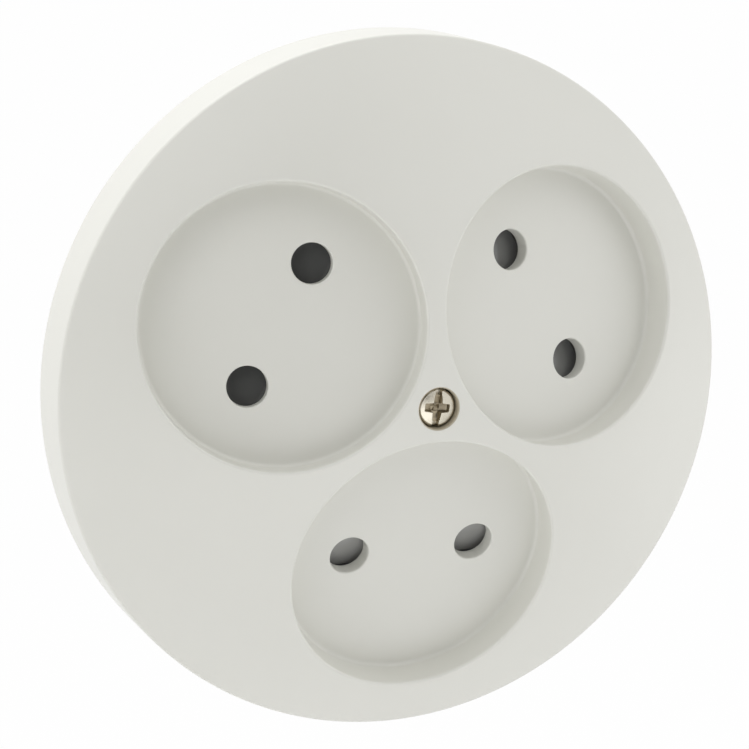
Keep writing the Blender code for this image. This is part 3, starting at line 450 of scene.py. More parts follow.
def cover_outside():
    """The cover as if solid inside: a sphere with a rounded rim and a skirt, three recesses with two pin
    holes each, and the counterbore. All rings are circles about their own axis, and the dome between them
    is a Delaunay net whose points lie on the sphere."""
    skin = Skin()
    reach = DOME_RADIUS - RIM_FILLET
    middle = RIM_RADIUS - RIM_FILLET
    tilt = degrees(asin(middle / reach))
    height = DOME_CENTRE + reach * cos(radians(tilt))
    rounding = arc((middle, height), RIM_FILLET, 90 - tilt, 0, 8)
    near = 0.3 * MM
    slope = (SKIRT_RADIUS - RIM_RADIUS) / height
    skirt = [(RIM_RADIUS + near * slope, height - near), (SKIRT_RADIUS - near * slope, near),
             (SKIRT_RADIUS, 0)]
    rim = skin.add(moved(circle(*rounding[0], RIM_SIDES), PLATE))
    last = skin.sweep(rim, np.concatenate([rounding[1:], skirt]), RIM_SIDES, PLATE)
    skin.fan(last, (0, 0, 0))

    loops = [rim]
    circles = []
    section = recess(DISH_RADIUS, DISH_LIP, FLOOR_DISTANCE, DISH_COVE)
    for angle in OUTLETS.values():
        matrix = outlet_frame(angle)
        first = skin.add(moved(circle(*section[0], DISH_SIDES), matrix))
        floor = skin.sweep(first, section[1:], DISH_SIDES, matrix)
        dish_floor(skin, floor, matrix)
        loops.append(first)
        circles.append((axis_of(angle), section[0][0]))
    bore = recess(BORE_RADIUS, BORE_LIP, BORE_FLOOR - DOME_CENTRE, BORE_COVE)
    seat = shifted(PLATE, z=BORE_FLOOR)
    first = skin.add(moved(circle(*bore[0], HOLE_SIDES), seat))
    hole = [(CLEARANCE_RADIUS + CLEARANCE_EDGE, 0), (CLEARANCE_RADIUS, -CLEARANCE_EDGE),
            (CLEARANCE_RADIUS, COLUMN_BOTTOM - BORE_FLOOR - MM)]
    last = skin.sweep(first, np.concatenate([bore[1:], hole]), HOLE_SIDES, seat)
    skin.fan(last, moved([(0, 0, hole[-1][1])], seat)[0])
    loops.append(first)
    circles.append((np.array([0, 0, 1.0]), bore[0][0]))

    grid = hexagons(rounding[0][0] - NET_SPACING, NET_SPACING)
    grid = np.column_stack([grid, dome_height(grid[:, 0], grid[:, 1])])
    for axis, radius in circles:
        grid = grid[away_from(grid, axis, radius) > NET_SPACING]
    rings = [circle(rounding[0][0] - 0.5 * MM, 0, RIM_SIDES)]
    for angle in OUTLETS.values():
        ring = circle(section[0][0] + DOME_ROW, FLOOR_DISTANCE, DISH_SIDES)
        rings.append(to_plate(moved(ring, outlet_frame(angle))))
    rings.append(circle(bore[0][0] + DOME_ROW, 0, HOLE_SIDES))
    rings = np.concatenate(rings)
    rings[:, 2] = dome_height(rings[:, 0], rings[:, 1])
    inner = moved(np.concatenate([grid, rings]), PLATE)

    def keep(centres):
        points = np.column_stack([centres, dome_height(centres[:, 0], centres[:, 1])])
        outside = [away_from(points, axis, radius) > 0 for axis, radius in circles]
        return np.all(outside, axis=0) & (np.hypot(centres[:, 0], centres[:, 1]) < rounding[0][0])

    skin.fill(loops, inner, lambda points: to_plate(points)[:, :2], keep)
    return new_object("dished_cover", skin.points, skin.faces, 50)


def dish_floor(skin, edge, matrix):
    """A flat disc with two pin holes: a Delaunay net in the floor's plane, and below it each hole's rounded
    edge and wall as rings about the hole's own axis."""
    edge_radius = PIN_HOLE_RADIUS + PIN_HOLE_EDGE
    loops = [edge]
    inner = [circle(DISH_RADIUS - DISH_COVE - 0.2 * MM, 0, DISH_SIDES)]
    for side in (-1, 1):
        hole = shifted(matrix, y=side * PIN_PLACE)
        first = skin.add(moved(circle(edge_radius, 0, HOLE_SIDES), hole))
        rounding = arc((edge_radius, -PIN_HOLE_EDGE), PIN_HOLE_EDGE, 90, 180, 5)[1:]
        deep = -DISH_FLOOR - MM
        wall = [(PIN_HOLE_RADIUS, -PIN_HOLE_EDGE - PIN_HOLE_ROW), (PIN_HOLE_RADIUS, deep)]
        last = skin.sweep(first, np.concatenate([rounding, wall]), HOLE_SIDES, hole)
        skin.fan(last, moved([(0, 0, deep)], hole)[0])
        loops.append(first)
        inner.append(circle(edge_radius + EDGE_ROW, 0, HOLE_SIDES) + [0, side * PIN_PLACE, 0])
    grid = hexagons(DISH_RADIUS - 2 * MM, FLOOR_NET_SPACING)
    inner.append(np.column_stack([grid, np.zeros(len(grid))]))
    inner = np.concatenate(inner)
    clear = np.hypot(inner[:, 0], np.abs(inner[:, 1]) - PIN_PLACE) > edge_radius + PIN_HOLE_ROW
    back = np.linalg.inv(matrix)

    def keep(centres):
        return (np.hypot(centres[:, 0], np.abs(centres[:, 1]) - PIN_PLACE) > edge_radius) & (
            np.hypot(centres[:, 0], centres[:, 1]) < DISH_RADIUS - DISH_COVE)

    skin.fill(loops, moved(inner[clear], matrix), lambda points: moved(points, back)[:, :2], keep)


def closed_turn(name, profile, count, matrix, angle=30.0):
    """A closed half-section (r, z) off the axis or ending on it, turned about z."""
    skin = Skin()
    start = np.asarray(profile[0], float)
    rings = [p for p in profile if p[0] > 0]
    first = skin.add(moved(circle(*rings[0], count), matrix))
    last = skin.sweep(first, rings[1:], count, matrix)
    if start[0] > 0:
        skin.bridge(last, first)
    else:
        skin.fan(first, moved([(0, 0, profile[0][1])], matrix)[0])
        skin.fan(last, moved([(0, 0, profile[-1][1])], matrix)[0])
    return new_object(name, skin.points, skin.faces, angle)


def block_of(name, corners, low, high, matrix):
    """A flat outline of (x, z) corners in the frame, given a thickness along y from low to high."""
    corners = np.asarray(corners, float)
    count = len(corners)
    near = np.column_stack([corners[:, 0], np.full(count, low), corners[:, 1]])
    far = near + [0, high - low, 0]
    skin = Skin()
    a = skin.add(moved(near, matrix))
    b = skin.add(moved(far, matrix))
    skin.bridge(a, b)
    skin.faces += [a.tolist(), b.tolist()[::-1]]
    return new_object(name, skin.points, skin.faces)


def seam_height(distance, depth):
    """Height, at a distance from the middle, of the seam between planes that lie a depth under the floors."""
    apex = FLOOR_HEIGHT + FLOOR_PLACE * sin(DISH_TILT) / cos(DISH_TILT)
    return apex - depth / cos(DISH_TILT) - distance * 0.5 * sin(DISH_TILT) / cos(DISH_TILT)


def cover_hollow():
    """The room inside the cover: a sphere one wall smaller over a cylinder, less the three cups' walls and
    floors, the screw's column and three ribs."""
    inside = SKIRT_RADIUS - COVER_WALL
    sphere = DOME_RADIUS - COVER_WALL
    a = np.linspace(asin(inside / sphere), 0, 14)
    roof = np.stack([sphere * np.sin(a), DOME_CENTRE + sphere * np.cos(a)], 1)
    roof[-1, 0] = 0
    profile = [(0, -MM), (inside, -MM)] + roof.tolist()
    hollow = closed_turn("hollow", profile, HOLLOW_SIDES, PLATE)
    top = sqrt(DOME_RADIUS**2 - (DISH_RADIUS + DISH_WALL)**2) - FLOOR_DISTANCE - COVER_WALL / 4
    tools = []
    for i, angle in enumerate(OUTLETS.values()):
        reach = DISH_RADIUS + DISH_WALL
        cup = [(0, -DISH_FLOOR), (reach, -DISH_FLOOR), (reach, top), (0, top)]
        # A small turn of its own keeps each cup's edges off its neighbours' edges.
        matrix = turned_about_z(outlet_frame(angle), 0.01 + 0.02 * i)
        tools.append(closed_turn("cup", cup, CUP_SIDES, matrix))
    column = [(0, COLUMN_BOTTOM), (COLUMN_RADIUS, COLUMN_BOTTOM), (COLUMN_RADIUS, CROWN_HEIGHT),
              (0, CROWN_HEIGHT)]
    tools.append(closed_turn("column", column, COLUMN_SIDES, PLATE))
    for angle in SEAMS:
        start, ledge, stop = RIB_START, TURRET_RADIUS + RIB_GAP, SKIRT_RADIUS - COVER_WALL / 2
        clear = FACET_DEPTH - RIB_LIFT
        corners = [(start, seam_height(start, clear)), (ledge, seam_height(ledge, clear)), (ledge, RIB_LOW),
                   (stop, RIB_LOW), (stop, RIM_HEIGHT - COVER_WALL / 2)]
        for part in (0.85, 0.6):
            corners.append((part * stop, float(dome_height(part * stop, 0)) - COVER_WALL / 2))
        corners.append((start, float(dome_height(start, 0)) - COVER_WALL / 2))
        half = RIB_THICKNESS / 2
        tools.append(block_of("rib", corners, -half, half, turned_about_z(PLATE, angle)))
    return cut(hollow, tools)


def make_cover():
    """The white moulding with its true inside."""
    cover = cut(cover_outside(), [cover_hollow()])
    smooth(cover, 50)
    return cover


def step(value, edge, blur):
    """A smooth step from 1 below an edge to 0 above it: 3 s^2 - 2 s^3 over the blur's width."""
    share = np.clip((edge - value) / blur + 0.5, 0, 1)
    return share * share * (3 - 2 * share)


def recessed(points, top):
    """Sinks points near the top by the deepest of a slot right across and two crossed arms. The arms taper
    with the distance from the middle, and smooth steps give their edges."""
    x, y, z = points[..., 0], points[..., 1], points[..., 2]
    along = x * cos(RECESS_TURN) + y * sin(RECESS_TURN)
    across = y * cos(RECESS_TURN) - x * sin(RECESS_TURN)
    sunk = SLOT_DEPTH * step(np.abs(along), SLOT_WIDTH / 2, 0.08 * MM)
    for u, v in ((along, across), (across, along)):
        taper = 1 - RECESS_TAPER * np.clip(np.abs(u) / RECESS_ARM, 0, 1)
        narrow = RECESS_WIDTH / 2 * (0.55 + 0.45 * taper)
        arm = step(np.abs(v), narrow, 0.16 * MM) * step(np.abs(u), RECESS_ARM, 0.2 * MM)
        sunk = np.maximum(sunk, RECESS_DEPTH * taper * arm)
    weight = np.clip((z - (top - 1.2 * MM)) / (0.3 * MM), 0, 1)
    return np.stack([x, y, z - sunk * weight], -1)


def head_section(radius, height, corner, dense):
    """Half-section of a pan head, from its middle to its seat: a flat arc, height * (1 - HEAD_DOME * s^2) for
    s from 0 to 1, then a rounded edge."""
    inner = np.linspace(0, radius - corner, dense)
    top = height - HEAD_DOME * height * (inner / (radius - corner))**2
    edge = arc((radius - corner, top[-1] - corner), corner, 90, 0, 8)[1:]
    seat = [(radius, 0.05 * MM), (radius - 0.05 * MM, 0)]
    return np.concatenate([np.column_stack([inner, top]), edge, seat])


def make_cover_screw():
    """The middle screw: a pan head with a cross recess, and a shank whose radius shrinks by the thread's
    depth times 0.5 + 0.5 cos(2 pi z / pitch + turn)."""
    head = head_section(HEAD_RADIUS, HEAD_HEIGHT, HEAD_CORNER, 60)
    lengths = np.linspace(0.02 * MM, SHANK_LENGTH - 0.9 * MM, 200)
    shank = np.column_stack([np.full(200, SHANK_RADIUS), -lengths])
    tip = [(0.65 * SHANK_RADIUS, -SHANK_LENGTH), (0, -SHANK_LENGTH)]
    profile = np.concatenate([head, shank, tip])

    def shape(points):
        points = recessed(points, HEAD_HEIGHT)
        turn = np.arctan2(points[..., 1], points[..., 0])
        swing = 0.5 + 0.5 * np.cos(2 * pi * points[..., 2] / THREAD_PITCH + turn)
        depth = np.clip((-points[..., 2] - MM) / MM, 0, 1) * THREAD_DEPTH * swing
        on_shank = (points[..., 2] > -SHANK_LENGTH + 0.5 * MM) & (points[..., 2] < -MM)
        shrink = np.where(on_shank, 1 - depth, 1.0)
        return points * np.stack([shrink, shrink, np.ones_like(shrink)], -1)

    return revolved("cross_head_screw", profile, SCREW_HEAD_SIDES, shifted(PLATE, z=HEAD_SEAT), shape, 40)


def slotted_screw(name, radius, length, head_radius, head_height, matrix):
    """A cheese-head screw: the slot sinks every point of the head that lies near one line across it."""
    head = head_section(head_radius, head_height, 0.3 * head_height, 36)
    profile = np.concatenate([head, [(radius, -0.02 * MM), (radius, 0.5 * radius - length),
                                     (0.6 * radius, -length), (0, -length)]])

    def shape(points):
        side = np.clip((SMALL_SLOT_HALF - np.abs(points[..., 1])) / (0.12 * MM) + 0.5, 0, 1)
        weight = np.clip((points[..., 2] - 0.45 * head_height) / (0.1 * head_height), 0, 1)
        low = 0.5 * head_height
        sunk = np.maximum(points[..., 2] - low, 0) * side * weight
        return np.stack([points[..., 0], points[..., 1], points[..., 2] - sunk], -1)

    return revolved(name, profile, SMALL_SCREW_SIDES, matrix, shape, 40)


def within(points, loop):
    """Whether points lie within a closed outline: a line to the right of each crosses it an odd number of
    times."""
    x, y = points[:, :1], points[:, 1:]
    a, b = loop, np.roll(loop, -1, 0)
    rise = np.where(a[:, 1] == b[:, 1], 1.0, b[:, 1] - a[:, 1])
    spans = (a[:, 1] > y) != (b[:, 1] > y)
    return (spans & (x < a[:, 0] + (y - a[:, 1]) * (b[:, 0] - a[:, 0]) / rise)).sum(1) % 2 == 1


def turned_flat(points, angle):
    """Points of the plane, turned about its middle."""
    return points @ np.array([[cos(angle), sin(angle)], [-sin(angle), cos(angle)]])


def disc(radius, side, angle=0.0, distance=0.0, count=BORE_SIDES):
    """A circle's outline for an inset; side is -1 where the material lies inside it, and 1 where it lies
    outside."""
    way = circle(1.0, 0, count)[:, :2]
    return lambda inset: turned_flat((radius + side * inset) * way + [distance, 0], angle)


def rounded_square(half, corner, side, angle, distance):
    """The outline of a square with round corners for an inset: four quarter arcs about the points at
    +-(half - corner), whose radius follows the inset."""
    def outline(inset):
        flat, round_by = half - corner, corner + side * inset
        corners = ((1, 1, 0), (-1, 1, 90), (-1, -1, 180), (1, -1, 270))
        points = np.concatenate([arc((u * flat, v * flat), round_by, a, a + 90, 6) for u, v, a in corners])
        return turned_flat(points + [distance, 0], angle)
    return outline


def bent_slot(angle):
    """The outline of a slot that follows the circle of the box's screws, for an inset into the material: two
    arcs about the plate's middle, half a width apart from that circle, and a half circle at each end."""
    def outline(inset):
        half, turn = BOX_SLOT_WIDTH / 2 + inset, degrees(BOX_SLOT_HALF_ANGLE)
        end = (BOX_SCREW_PLACE * cos(BOX_SLOT_HALF_ANGLE), BOX_SCREW_PLACE * sin(BOX_SLOT_HALF_ANGLE))
        points = np.concatenate([
            arc((0, 0), BOX_SCREW_PLACE + half, -turn, turn, 12),
            arc(end, half, turn, turn + 180, 12)[1:-1],
            arc((0, 0), BOX_SCREW_PLACE - half, turn, -turn, 12),
            arc((end[0], -end[1]), half, 180 - turn, 360 - turn, 12)[1:-1]])
        return turned_flat(points, angle)
    return outline


def sheet(name, outlines, low, high, edge):
    """A plate between two heights with a first outline outside and the others as holes. Over each edge the
    inset is edge * (1 - sin a) at a depth of edge * (1 - cos a)."""
    skin = Skin()
    rows = [(edge * (1 - sin(a)), edge * (1 - cos(a))) for a in (0, pi / 6, pi / 3, pi / 2)]
    upper = [(inset, high - depth) for inset, depth in rows[::-1]]
    rows = [(inset, low + depth) for inset, depth in rows] + upper
    ends = []
    for outline in outlines:
        rings = []
        for inset, height in rows:
            flat = outline(inset)
            rings.append(skin.add(moved(np.column_stack([flat, np.full(len(flat), height)]), PLATE)))
        for one, two in zip(rings, rings[1:]):
            skin.bridge(one, two)
        ends.append((rings[0], rings[-1]))
    borders = [outline(edge) for outline in outlines]

    def keep(centres):
        inside = within(centres, borders[0])
        for border in borders[1:]:
            inside &= ~within(centres, border)
        return inside

    for loops in zip(*ends):
        skin.fill(loops, np.zeros((0, 3)), lambda points: to_plate(points)[:, :2], keep)
    return new_object(name, skin.points, skin.faces, 40)


def heights(name):
    """The lowest and highest point of a node along the plate's axis."""
    low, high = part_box(name)
    return -high[1], -low[1]


def make_mounting_plate():
    """The steel ring with six slots and two rivet holes."""
    outlines = [disc(PLATE_RADIUS, -1, count=RING_SIDES), disc(POT_RADIUS + SEAT, 1, count=POT_SIDES)]
    outlines += [bent_slot(radians(30 + 60 * i)) for i in range(6)]
    outlines += [disc(RIVET_RADIUS + SEAT, 1, angle, RIVET_PLACE, BORE_SIDES) for angle in (0.0, pi)]
    return sheet("steel_ring", outlines, 0, PLATE_THICKNESS, PLATE_EDGE)


def make_back_plate():
    """The plate that closes the pot, with two windows and two screw holes."""
    outlines = [disc(POT_INNER - SEAT, -1, count=POT_SIDES)]
    for angle in TERMINAL_ANGLES.values():
        outlines.append(rounded_square(TERMINAL_HALF + SEAT, WINDOW_CORNER, 1, angle, TERMINAL_PLACE))
    for angle in BACK_SCREW_ANGLES.values():
        outlines.append(disc(BACK_SCREW[0] + SEAT, 1, angle, BACK_SCREW_PLACE, BACK_HOLE_SIDES))
    return sheet("rear_plate", outlines, *heights("back_plate"), BACK_PLATE_EDGE)


def make_terminal(pole, angle):
    """A brass block with round edges, a hole for the wire and the screw's bore."""
    low, high = heights(pole + "_terminal")
    outline = rounded_square(TERMINAL_HALF, TERMINAL_CORNER, -1, angle, TERMINAL_PLACE)
    block = sheet(pole + "_block", [outline], low, high, TERMINAL_EDGE)
    wire = heights("back_plate")[0] - WIRE_HOLE_DROP
    frame = shifted(turned_about_z(PLATE, angle), x=TERMINAL_PLACE)
    across = shifted(frame, z=wire) @ np.array([[1, 0, 0, 0], [0, 0, -1, 0], [0, 1, 0, 0], [0, 0, 0, 1.0]])
    half = 2 * TERMINAL_HALF
    rod = [(0, -half), (WIRE_HOLE_RADIUS, -half), (WIRE_HOLE_RADIUS, half), (0, half)]
    hole = closed_turn("wire", rod, BORE_SIDES, across)
    reach = TERMINAL_SCREW[0] + SEAT
    bore = closed_turn("bore", [(0, low - MM), (reach, low - MM), (reach, wire), (0, wire)],
                       BORE_SIDES, frame)
    cut(block, [hole, bore])
    smooth(block, 40)
    return block


def make_rear_screw(name, node_name, sizes, angle, distance):
    """A slotted screw whose head is at the back, as long as its node."""
    radius, head_radius, head_height = sizes
    low, high = heights(node_name)
    matrix = flipped(shifted(turned_about_z(PLATE, angle), x=distance, z=low + head_height))
    return slotted_screw(name, radius, high - low - head_height, head_radius, head_height, matrix)


def make_rivet(name, angle):
    """A rivet with a domed head on the flange and its end flush with the ring's back."""
    seat = FLANGE_FRONT + SEAT
    a = np.radians(np.linspace(90, 0, 9))
    height = seat + RIVET_HEAD_HEIGHT * (0.4 + 0.6 * np.sin(a))
    dome = np.column_stack([RIVET_HEAD_RADIUS * np.cos(a), height])
    rest = [(RIVET_HEAD_RADIUS, seat), (RIVET_RADIUS, seat), (RIVET_RADIUS, RIVET_EDGE),
            (RIVET_RADIUS - RIVET_EDGE, 0), (0, 0)]
    matrix = shifted(turned_about_z(PLATE, angle), x=RIVET_PLACE)
    return revolved(name, np.concatenate([dome, rest]), BORE_SIDES, matrix, angle=40)


def make_spring(name, angle):
    """A coil spring: a tube round the path (x, R cos 2 pi n s, R sin 2 pi n s), where x climbs evenly with s
    from 0 to 1. Each ring of the tube is path + wire * (out cos t + side sin t)."""
    radius, sides = SPRING_RADIUS, WIRE_SIDES
    start, stop = SPRING_START + 0.5 * MM, SPRING_STOP - 0.5 * MM
    steps = COIL_STEPS * SPRING_TURNS
    s = np.linspace(0, 1, steps + 1)
    phase = 2 * pi * SPRING_TURNS * s
    path = np.column_stack([start + (stop - start) * s, radius * np.cos(phase), radius * np.sin(phase)])
    out = np.column_stack([0 * s, np.cos(phase), np.sin(phase)])
    rise = (stop - start) / (2 * pi * SPRING_TURNS * radius)
    along = np.column_stack([np.full_like(s, rise), -np.sin(phase), np.cos(phase)])
    along /= np.linalg.norm(along, axis=1)[:, None]
    side = np.cross(out, along)
    t = (2 * pi * np.arange(sides) / sides)[None, :, None]
    rings = path[:, None] + SPRING_WIRE * (out[:, None] * np.cos(t) + side[:, None] * np.sin(t))
    skin = Skin()
    matrix = shifted(outlet_frame(angle), z=-SPRING_DEPTH)
    numbers = skin.add(moved(rings.reshape(-1, 3), matrix)).reshape(steps + 1, sides)
    right = np.roll(numbers, -1, 1)
    skin.faces += np.stack([numbers[:-1], right[:-1], right[1:], numbers[1:]], 2).reshape(-1, 4).tolist()
    skin.fan(numbers[0], moved(path[:1], matrix)[0])
    skin.fan(numbers[-1], moved(path[-1:], matrix)[0])
    return new_object(name, skin.points, skin.faces, 60)


def node(tree, kind, **values):
    """A shader node with its inputs and properties set by name."""
    made = tree.nodes.new(kind)
    for key, value in values.items():
        name = key.replace("_", " ")
        if name in made.inputs:
            made.inputs[name].default_value = value
        else:
            setattr(made, key, value)
    return made


def surface(name, colour, other, patch, roughness, spread, grain, depth, metallic=0.0, specular=0.5,
            brushed=None):
    """A material whose colour drifts between two tones over patches, with uneven roughness and a fine bump.
    patch and grain are the sizes of the features in metres, and depth is the bump's height. brushed stretches
    the fine grain along an axis."""
    made = bpy.data.materials.new(name)
    made.use_nodes = True
    tree = made.node_tree
    shader = tree.nodes["Principled BSDF"]
    shader.inputs["Metallic"].default_value = metallic
    shader.inputs["Specular IOR Level"].default_value = specular
    place = node(tree, "ShaderNodeTexCoord").outputs["Object"]
    if brushed is not None:
        mapping = node(tree, "ShaderNodeMapping", Scale=brushed)
        tree.links.new(place, mapping.inputs["Vector"])
        fine_place = mapping.outputs["Vector"]
    else:
        fine_place = place
    drift = node(tree, "ShaderNodeTexNoise", Scale=1 / patch, Detail=3.0, Roughness=0.55)
    fine = node(tree, "ShaderNodeTexNoise", Scale=1 / grain, Detail=2.0, Roughness=0.6)
    tree.links.new(place, drift.inputs["Vector"])
    tree.links.new(fine_place, fine.inputs["Vector"])
    tones = node(tree, "ShaderNodeValToRGB")
    tones.color_ramp.elements[0].position = 0.3
    tones.color_ramp.elements[0].color = (*colour, 1)
    tones.color_ramp.elements[1].position = 0.7
    tones.color_ramp.elements[1].color = (*other, 1)
    tree.links.new(drift.outputs["Fac"], tones.inputs["Fac"])
    tree.links.new(tones.outputs["Color"], shader.inputs["Base Color"])
    mixed = node(tree, "ShaderNodeMath", operation="MULTIPLY_ADD")
    mixed.inputs[1].default_value = 0.5
    tree.links.new(drift.outputs["Fac"], mixed.inputs[0])
    half = node(tree, "ShaderNodeMath", operation="MULTIPLY")
    half.inputs[1].default_value = 0.5
    tree.links.new(fine.outputs["Fac"], half.inputs[0])
    tree.links.new(half.outputs[0], mixed.inputs[2])
    rough = node(tree, "ShaderNodeMapRange")
    rough.inputs["From Min"].default_value = 0.3
    rough.inputs["From Max"].default_value = 0.7
    rough.inputs["To Min"].default_value = roughness - spread
    rough.inputs["To Max"].default_value = roughness + spread
    tree.links.new(mixed.outputs[0], rough.inputs["Value"])
    tree.links.new(rough.outputs["Result"], shader.inputs["Roughness"])
    bump = node(tree, "ShaderNodeBump", Strength=1.0, Distance=depth)
    tree.links.new(fine.outputs["Fac"], bump.inputs["Height"])
    tree.links.new(bump.outputs["Normal"], shader.inputs["Normal"])
    return made


def radius_about_y(tree):
    """The distance from the Y axis."""
    flat = node(tree, "ShaderNodeVectorMath", operation="MULTIPLY")
    flat.inputs[1].default_value = (1, 0, 1)
    tree.links.new(node(tree, "ShaderNodeTexCoord").outputs["Object"], flat.inputs[0])
    radius = node(tree, "ShaderNodeVectorMath", operation="LENGTH")
    tree.links.new(flat.outputs["Vector"], radius.inputs[0])
    return radius.outputs["Value"]


def painted_recess_shade(made):
    """Painted shade in a screw's recess: darkens and browns the colour near the middle with the depth below
    its head's top, along Y, in place of the shade that falls there.
    """
    tree = made.node_tree
    shader = tree.nodes["Principled BSDF"]
    colour = shader.inputs["Base Color"].links[0].from_socket
    split = node(tree, "ShaderNodeSeparateXYZ")
    tree.links.new(node(tree, "ShaderNodeTexCoord").outputs["Object"], split.inputs["Vector"])
    top = HEAD_SEAT + HEAD_HEIGHT
    depth = node(tree, "ShaderNodeMapRange", interpolation_type="SMOOTHSTEP")
    depth.inputs["From Min"].default_value = -top + RECESS_SHADE_DEPTHS[0]
    depth.inputs["From Max"].default_value = -top + RECESS_SHADE_DEPTHS[1]
    depth.inputs["To Max"].default_value = RECESS_SHADE
    tree.links.new(split.outputs["Y"], depth.inputs["Value"])
    inner = node(tree, "ShaderNodeMapRange", interpolation_type="SMOOTHSTEP")
    inner.inputs["From Min"].default_value = RECESS_SHADE_RADII[0]
    inner.inputs["From Max"].default_value = RECESS_SHADE_RADII[1]
    tree.links.new(radius_about_y(tree), inner.inputs["Value"])
    both = node(tree, "ShaderNodeMath", operation="MULTIPLY")
    tree.links.new(depth.outputs["Result"], both.inputs[0])
    tree.links.new(inner.outputs["Result"], both.inputs[1])
    mix = node(tree, "ShaderNodeMix", data_type="RGBA")
    tree.links.new(both.outputs[0], mix.inputs["Factor"])
    tree.links.new(colour, mix.inputs["A"])
    mix.inputs["B"].default_value = RECESS_SHADE_BROWN
    tree.links.new(mix.outputs["Result"], shader.inputs["Base Color"])
    return made


def painted_bore_shade(made):
    """Painted shadow: browns the wall of the screw's counterbore, within a radius round Y, in place of the
    brownish shade there.
    """
    tree = made.node_tree
    shader = tree.nodes["Principled BSDF"]
    colour = shader.inputs["Base Color"].links[0].from_socket
    near = node(tree, "ShaderNodeMapRange", interpolation_type="SMOOTHSTEP")
    near.inputs["From Min"].default_value = BORE_RADIUS + BORE_SHADE_START
    near.inputs["From Max"].default_value = BORE_RADIUS + BORE_LIP
    near.inputs["To Min"].default_value = BORE_SHADE
    near.inputs["To Max"].default_value = 0.0
    tree.links.new(radius_about_y(tree), near.inputs["Value"])
    mix = node(tree, "ShaderNodeMix", data_type="RGBA")
    tree.links.new(near.outputs["Result"], mix.inputs["Factor"])
    tree.links.new(colour, mix.inputs["A"])
    mix.inputs["B"].default_value = BORE_SHADE_BROWN
    tree.links.new(mix.outputs["Result"], shader.inputs["Base Color"])
    return made


def sheen_and_painted_low_light(made):
    """The shutters: a soft sheen, as of dust, lightens what is seen at a slant; and painted light: the colour
    gets lighter with a smooth step of the height, so that the lower shutter looks more brightly lit."""
    tree = made.node_tree
    shader = tree.nodes["Principled BSDF"]
    shader.inputs["Sheen Weight"].default_value = 1.0
    shader.inputs["Sheen Roughness"].default_value = SHEEN_ROUGHNESS
    shader.inputs["Sheen Tint"].default_value = SHEEN_TINT
    colour = shader.inputs["Base Color"].links[0].from_socket
    split = node(tree, "ShaderNodeSeparateXYZ")
    tree.links.new(node(tree, "ShaderNodeTexCoord").outputs["Object"], split.inputs["Vector"])
    low = node(tree, "ShaderNodeMapRange", interpolation_type="SMOOTHSTEP")
    low.inputs["From Min"].default_value = PAINTED_LIGHT_TOP
    low.inputs["From Max"].default_value = PAINTED_LIGHT_BOTTOM
    tree.links.new(split.outputs["Z"], low.inputs["Value"])
    mix = node(tree, "ShaderNodeMix", data_type="RGBA")
    tree.links.new(low.outputs["Result"], mix.inputs["Factor"])
    tree.links.new(colour, mix.inputs["A"])
    mix.inputs["B"].default_value = LOW_PAINTED_LIGHT_GREY
    tree.links.new(mix.outputs["Result"], shader.inputs["Base Color"])
    return made


def make_materials():
    """One material for each slot of the record, and one for the middle screw's head."""
    white = surface("white_plastic", (0.745, 0.742, 0.69), (0.761, 0.758, 0.708), 30 * MM, 0.36, 0.03,
                    0.35 * MM, 0.0012 * MM)
    insert = surface("insert_plastic", (0.132, 0.134, 0.134), (0.166, 0.169, 0.169), 9 * MM, 0.4, 0.06,
                     0.25 * MM, 0.003 * MM, specular=0.9)
    shutter = surface("shutter_plastic", (0.016, 0.0175, 0.018), (0.026, 0.028, 0.0285), 6 * MM, 0.16, 0.03,
                      0.2 * MM, 0.0015 * MM, specular=0.9)
    insulating = surface("insulating_plastic", (0.3, 0.1, 0.05), (0.36, 0.13, 0.07), 8 * MM, 0.5, 0.08,
                         0.3 * MM, 0.005 * MM)
    zinc = surface("zinc_plated_steel", (0.60, 0.60, 0.59), (0.68, 0.68, 0.66), 5 * MM, 0.34, 0.09,
                   0.12 * MM, 0.002 * MM, metallic=1.0, brushed=(1, 1, 0.06))
    brass = surface("contact_brass", (0.70, 0.50, 0.24), (0.78, 0.58, 0.3), 4 * MM, 0.3, 0.08,
                    0.15 * MM, 0.002 * MM, metallic=1.0, brushed=(0.08, 1, 1))
    nickel = surface("nickel_plated_screw", (0.62, 0.585, 0.50), (0.72, 0.68, 0.6), 1.5 * MM, 0.3, 0.07,
                     0.1 * MM, 0.002 * MM, metallic=1.0)
    # The screw head's material, which gets painted shade in its recess below
    recess_shaded_nickel = surface("worn_nickel_painted_recess_shade", (0.60, 0.56, 0.465), (0.70, 0.655, 0.56), 1.1 * MM, 0.3, 0.08,
                   0.12 * MM, 0.004 * MM, metallic=1.0)
    spring = surface("spring_steel", (0.55, 0.55, 0.54), (0.65, 0.65, 0.64), MM, 0.25, 0.06,
                     0.1 * MM, 0.001 * MM, metallic=1.0)
    # Painted shade on the counterbore wall and in the screw head's recess, and painted light low on the
    # shutters
    return {"cover_plastic": painted_bore_shade(white), "insert_plastic": insert, "shutter_plastic": sheen_and_painted_low_light(shutter),
            "insulating_plastic": insulating, "plate_steel": zinc, "contact_brass": brass,
            "screw_nickel": nickel, "head_nickel": painted_recess_shade(recess_shaded_nickel), "spring_steel": spring}


def dress(item, material, body="socket", replaced=None):
    """Gives a new piece its material and its place in the model."""
    item.data.materials.clear()
    item.data.materials.append(material)
    if replaced:
        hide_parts(replaced)
    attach(item, body)
    return item


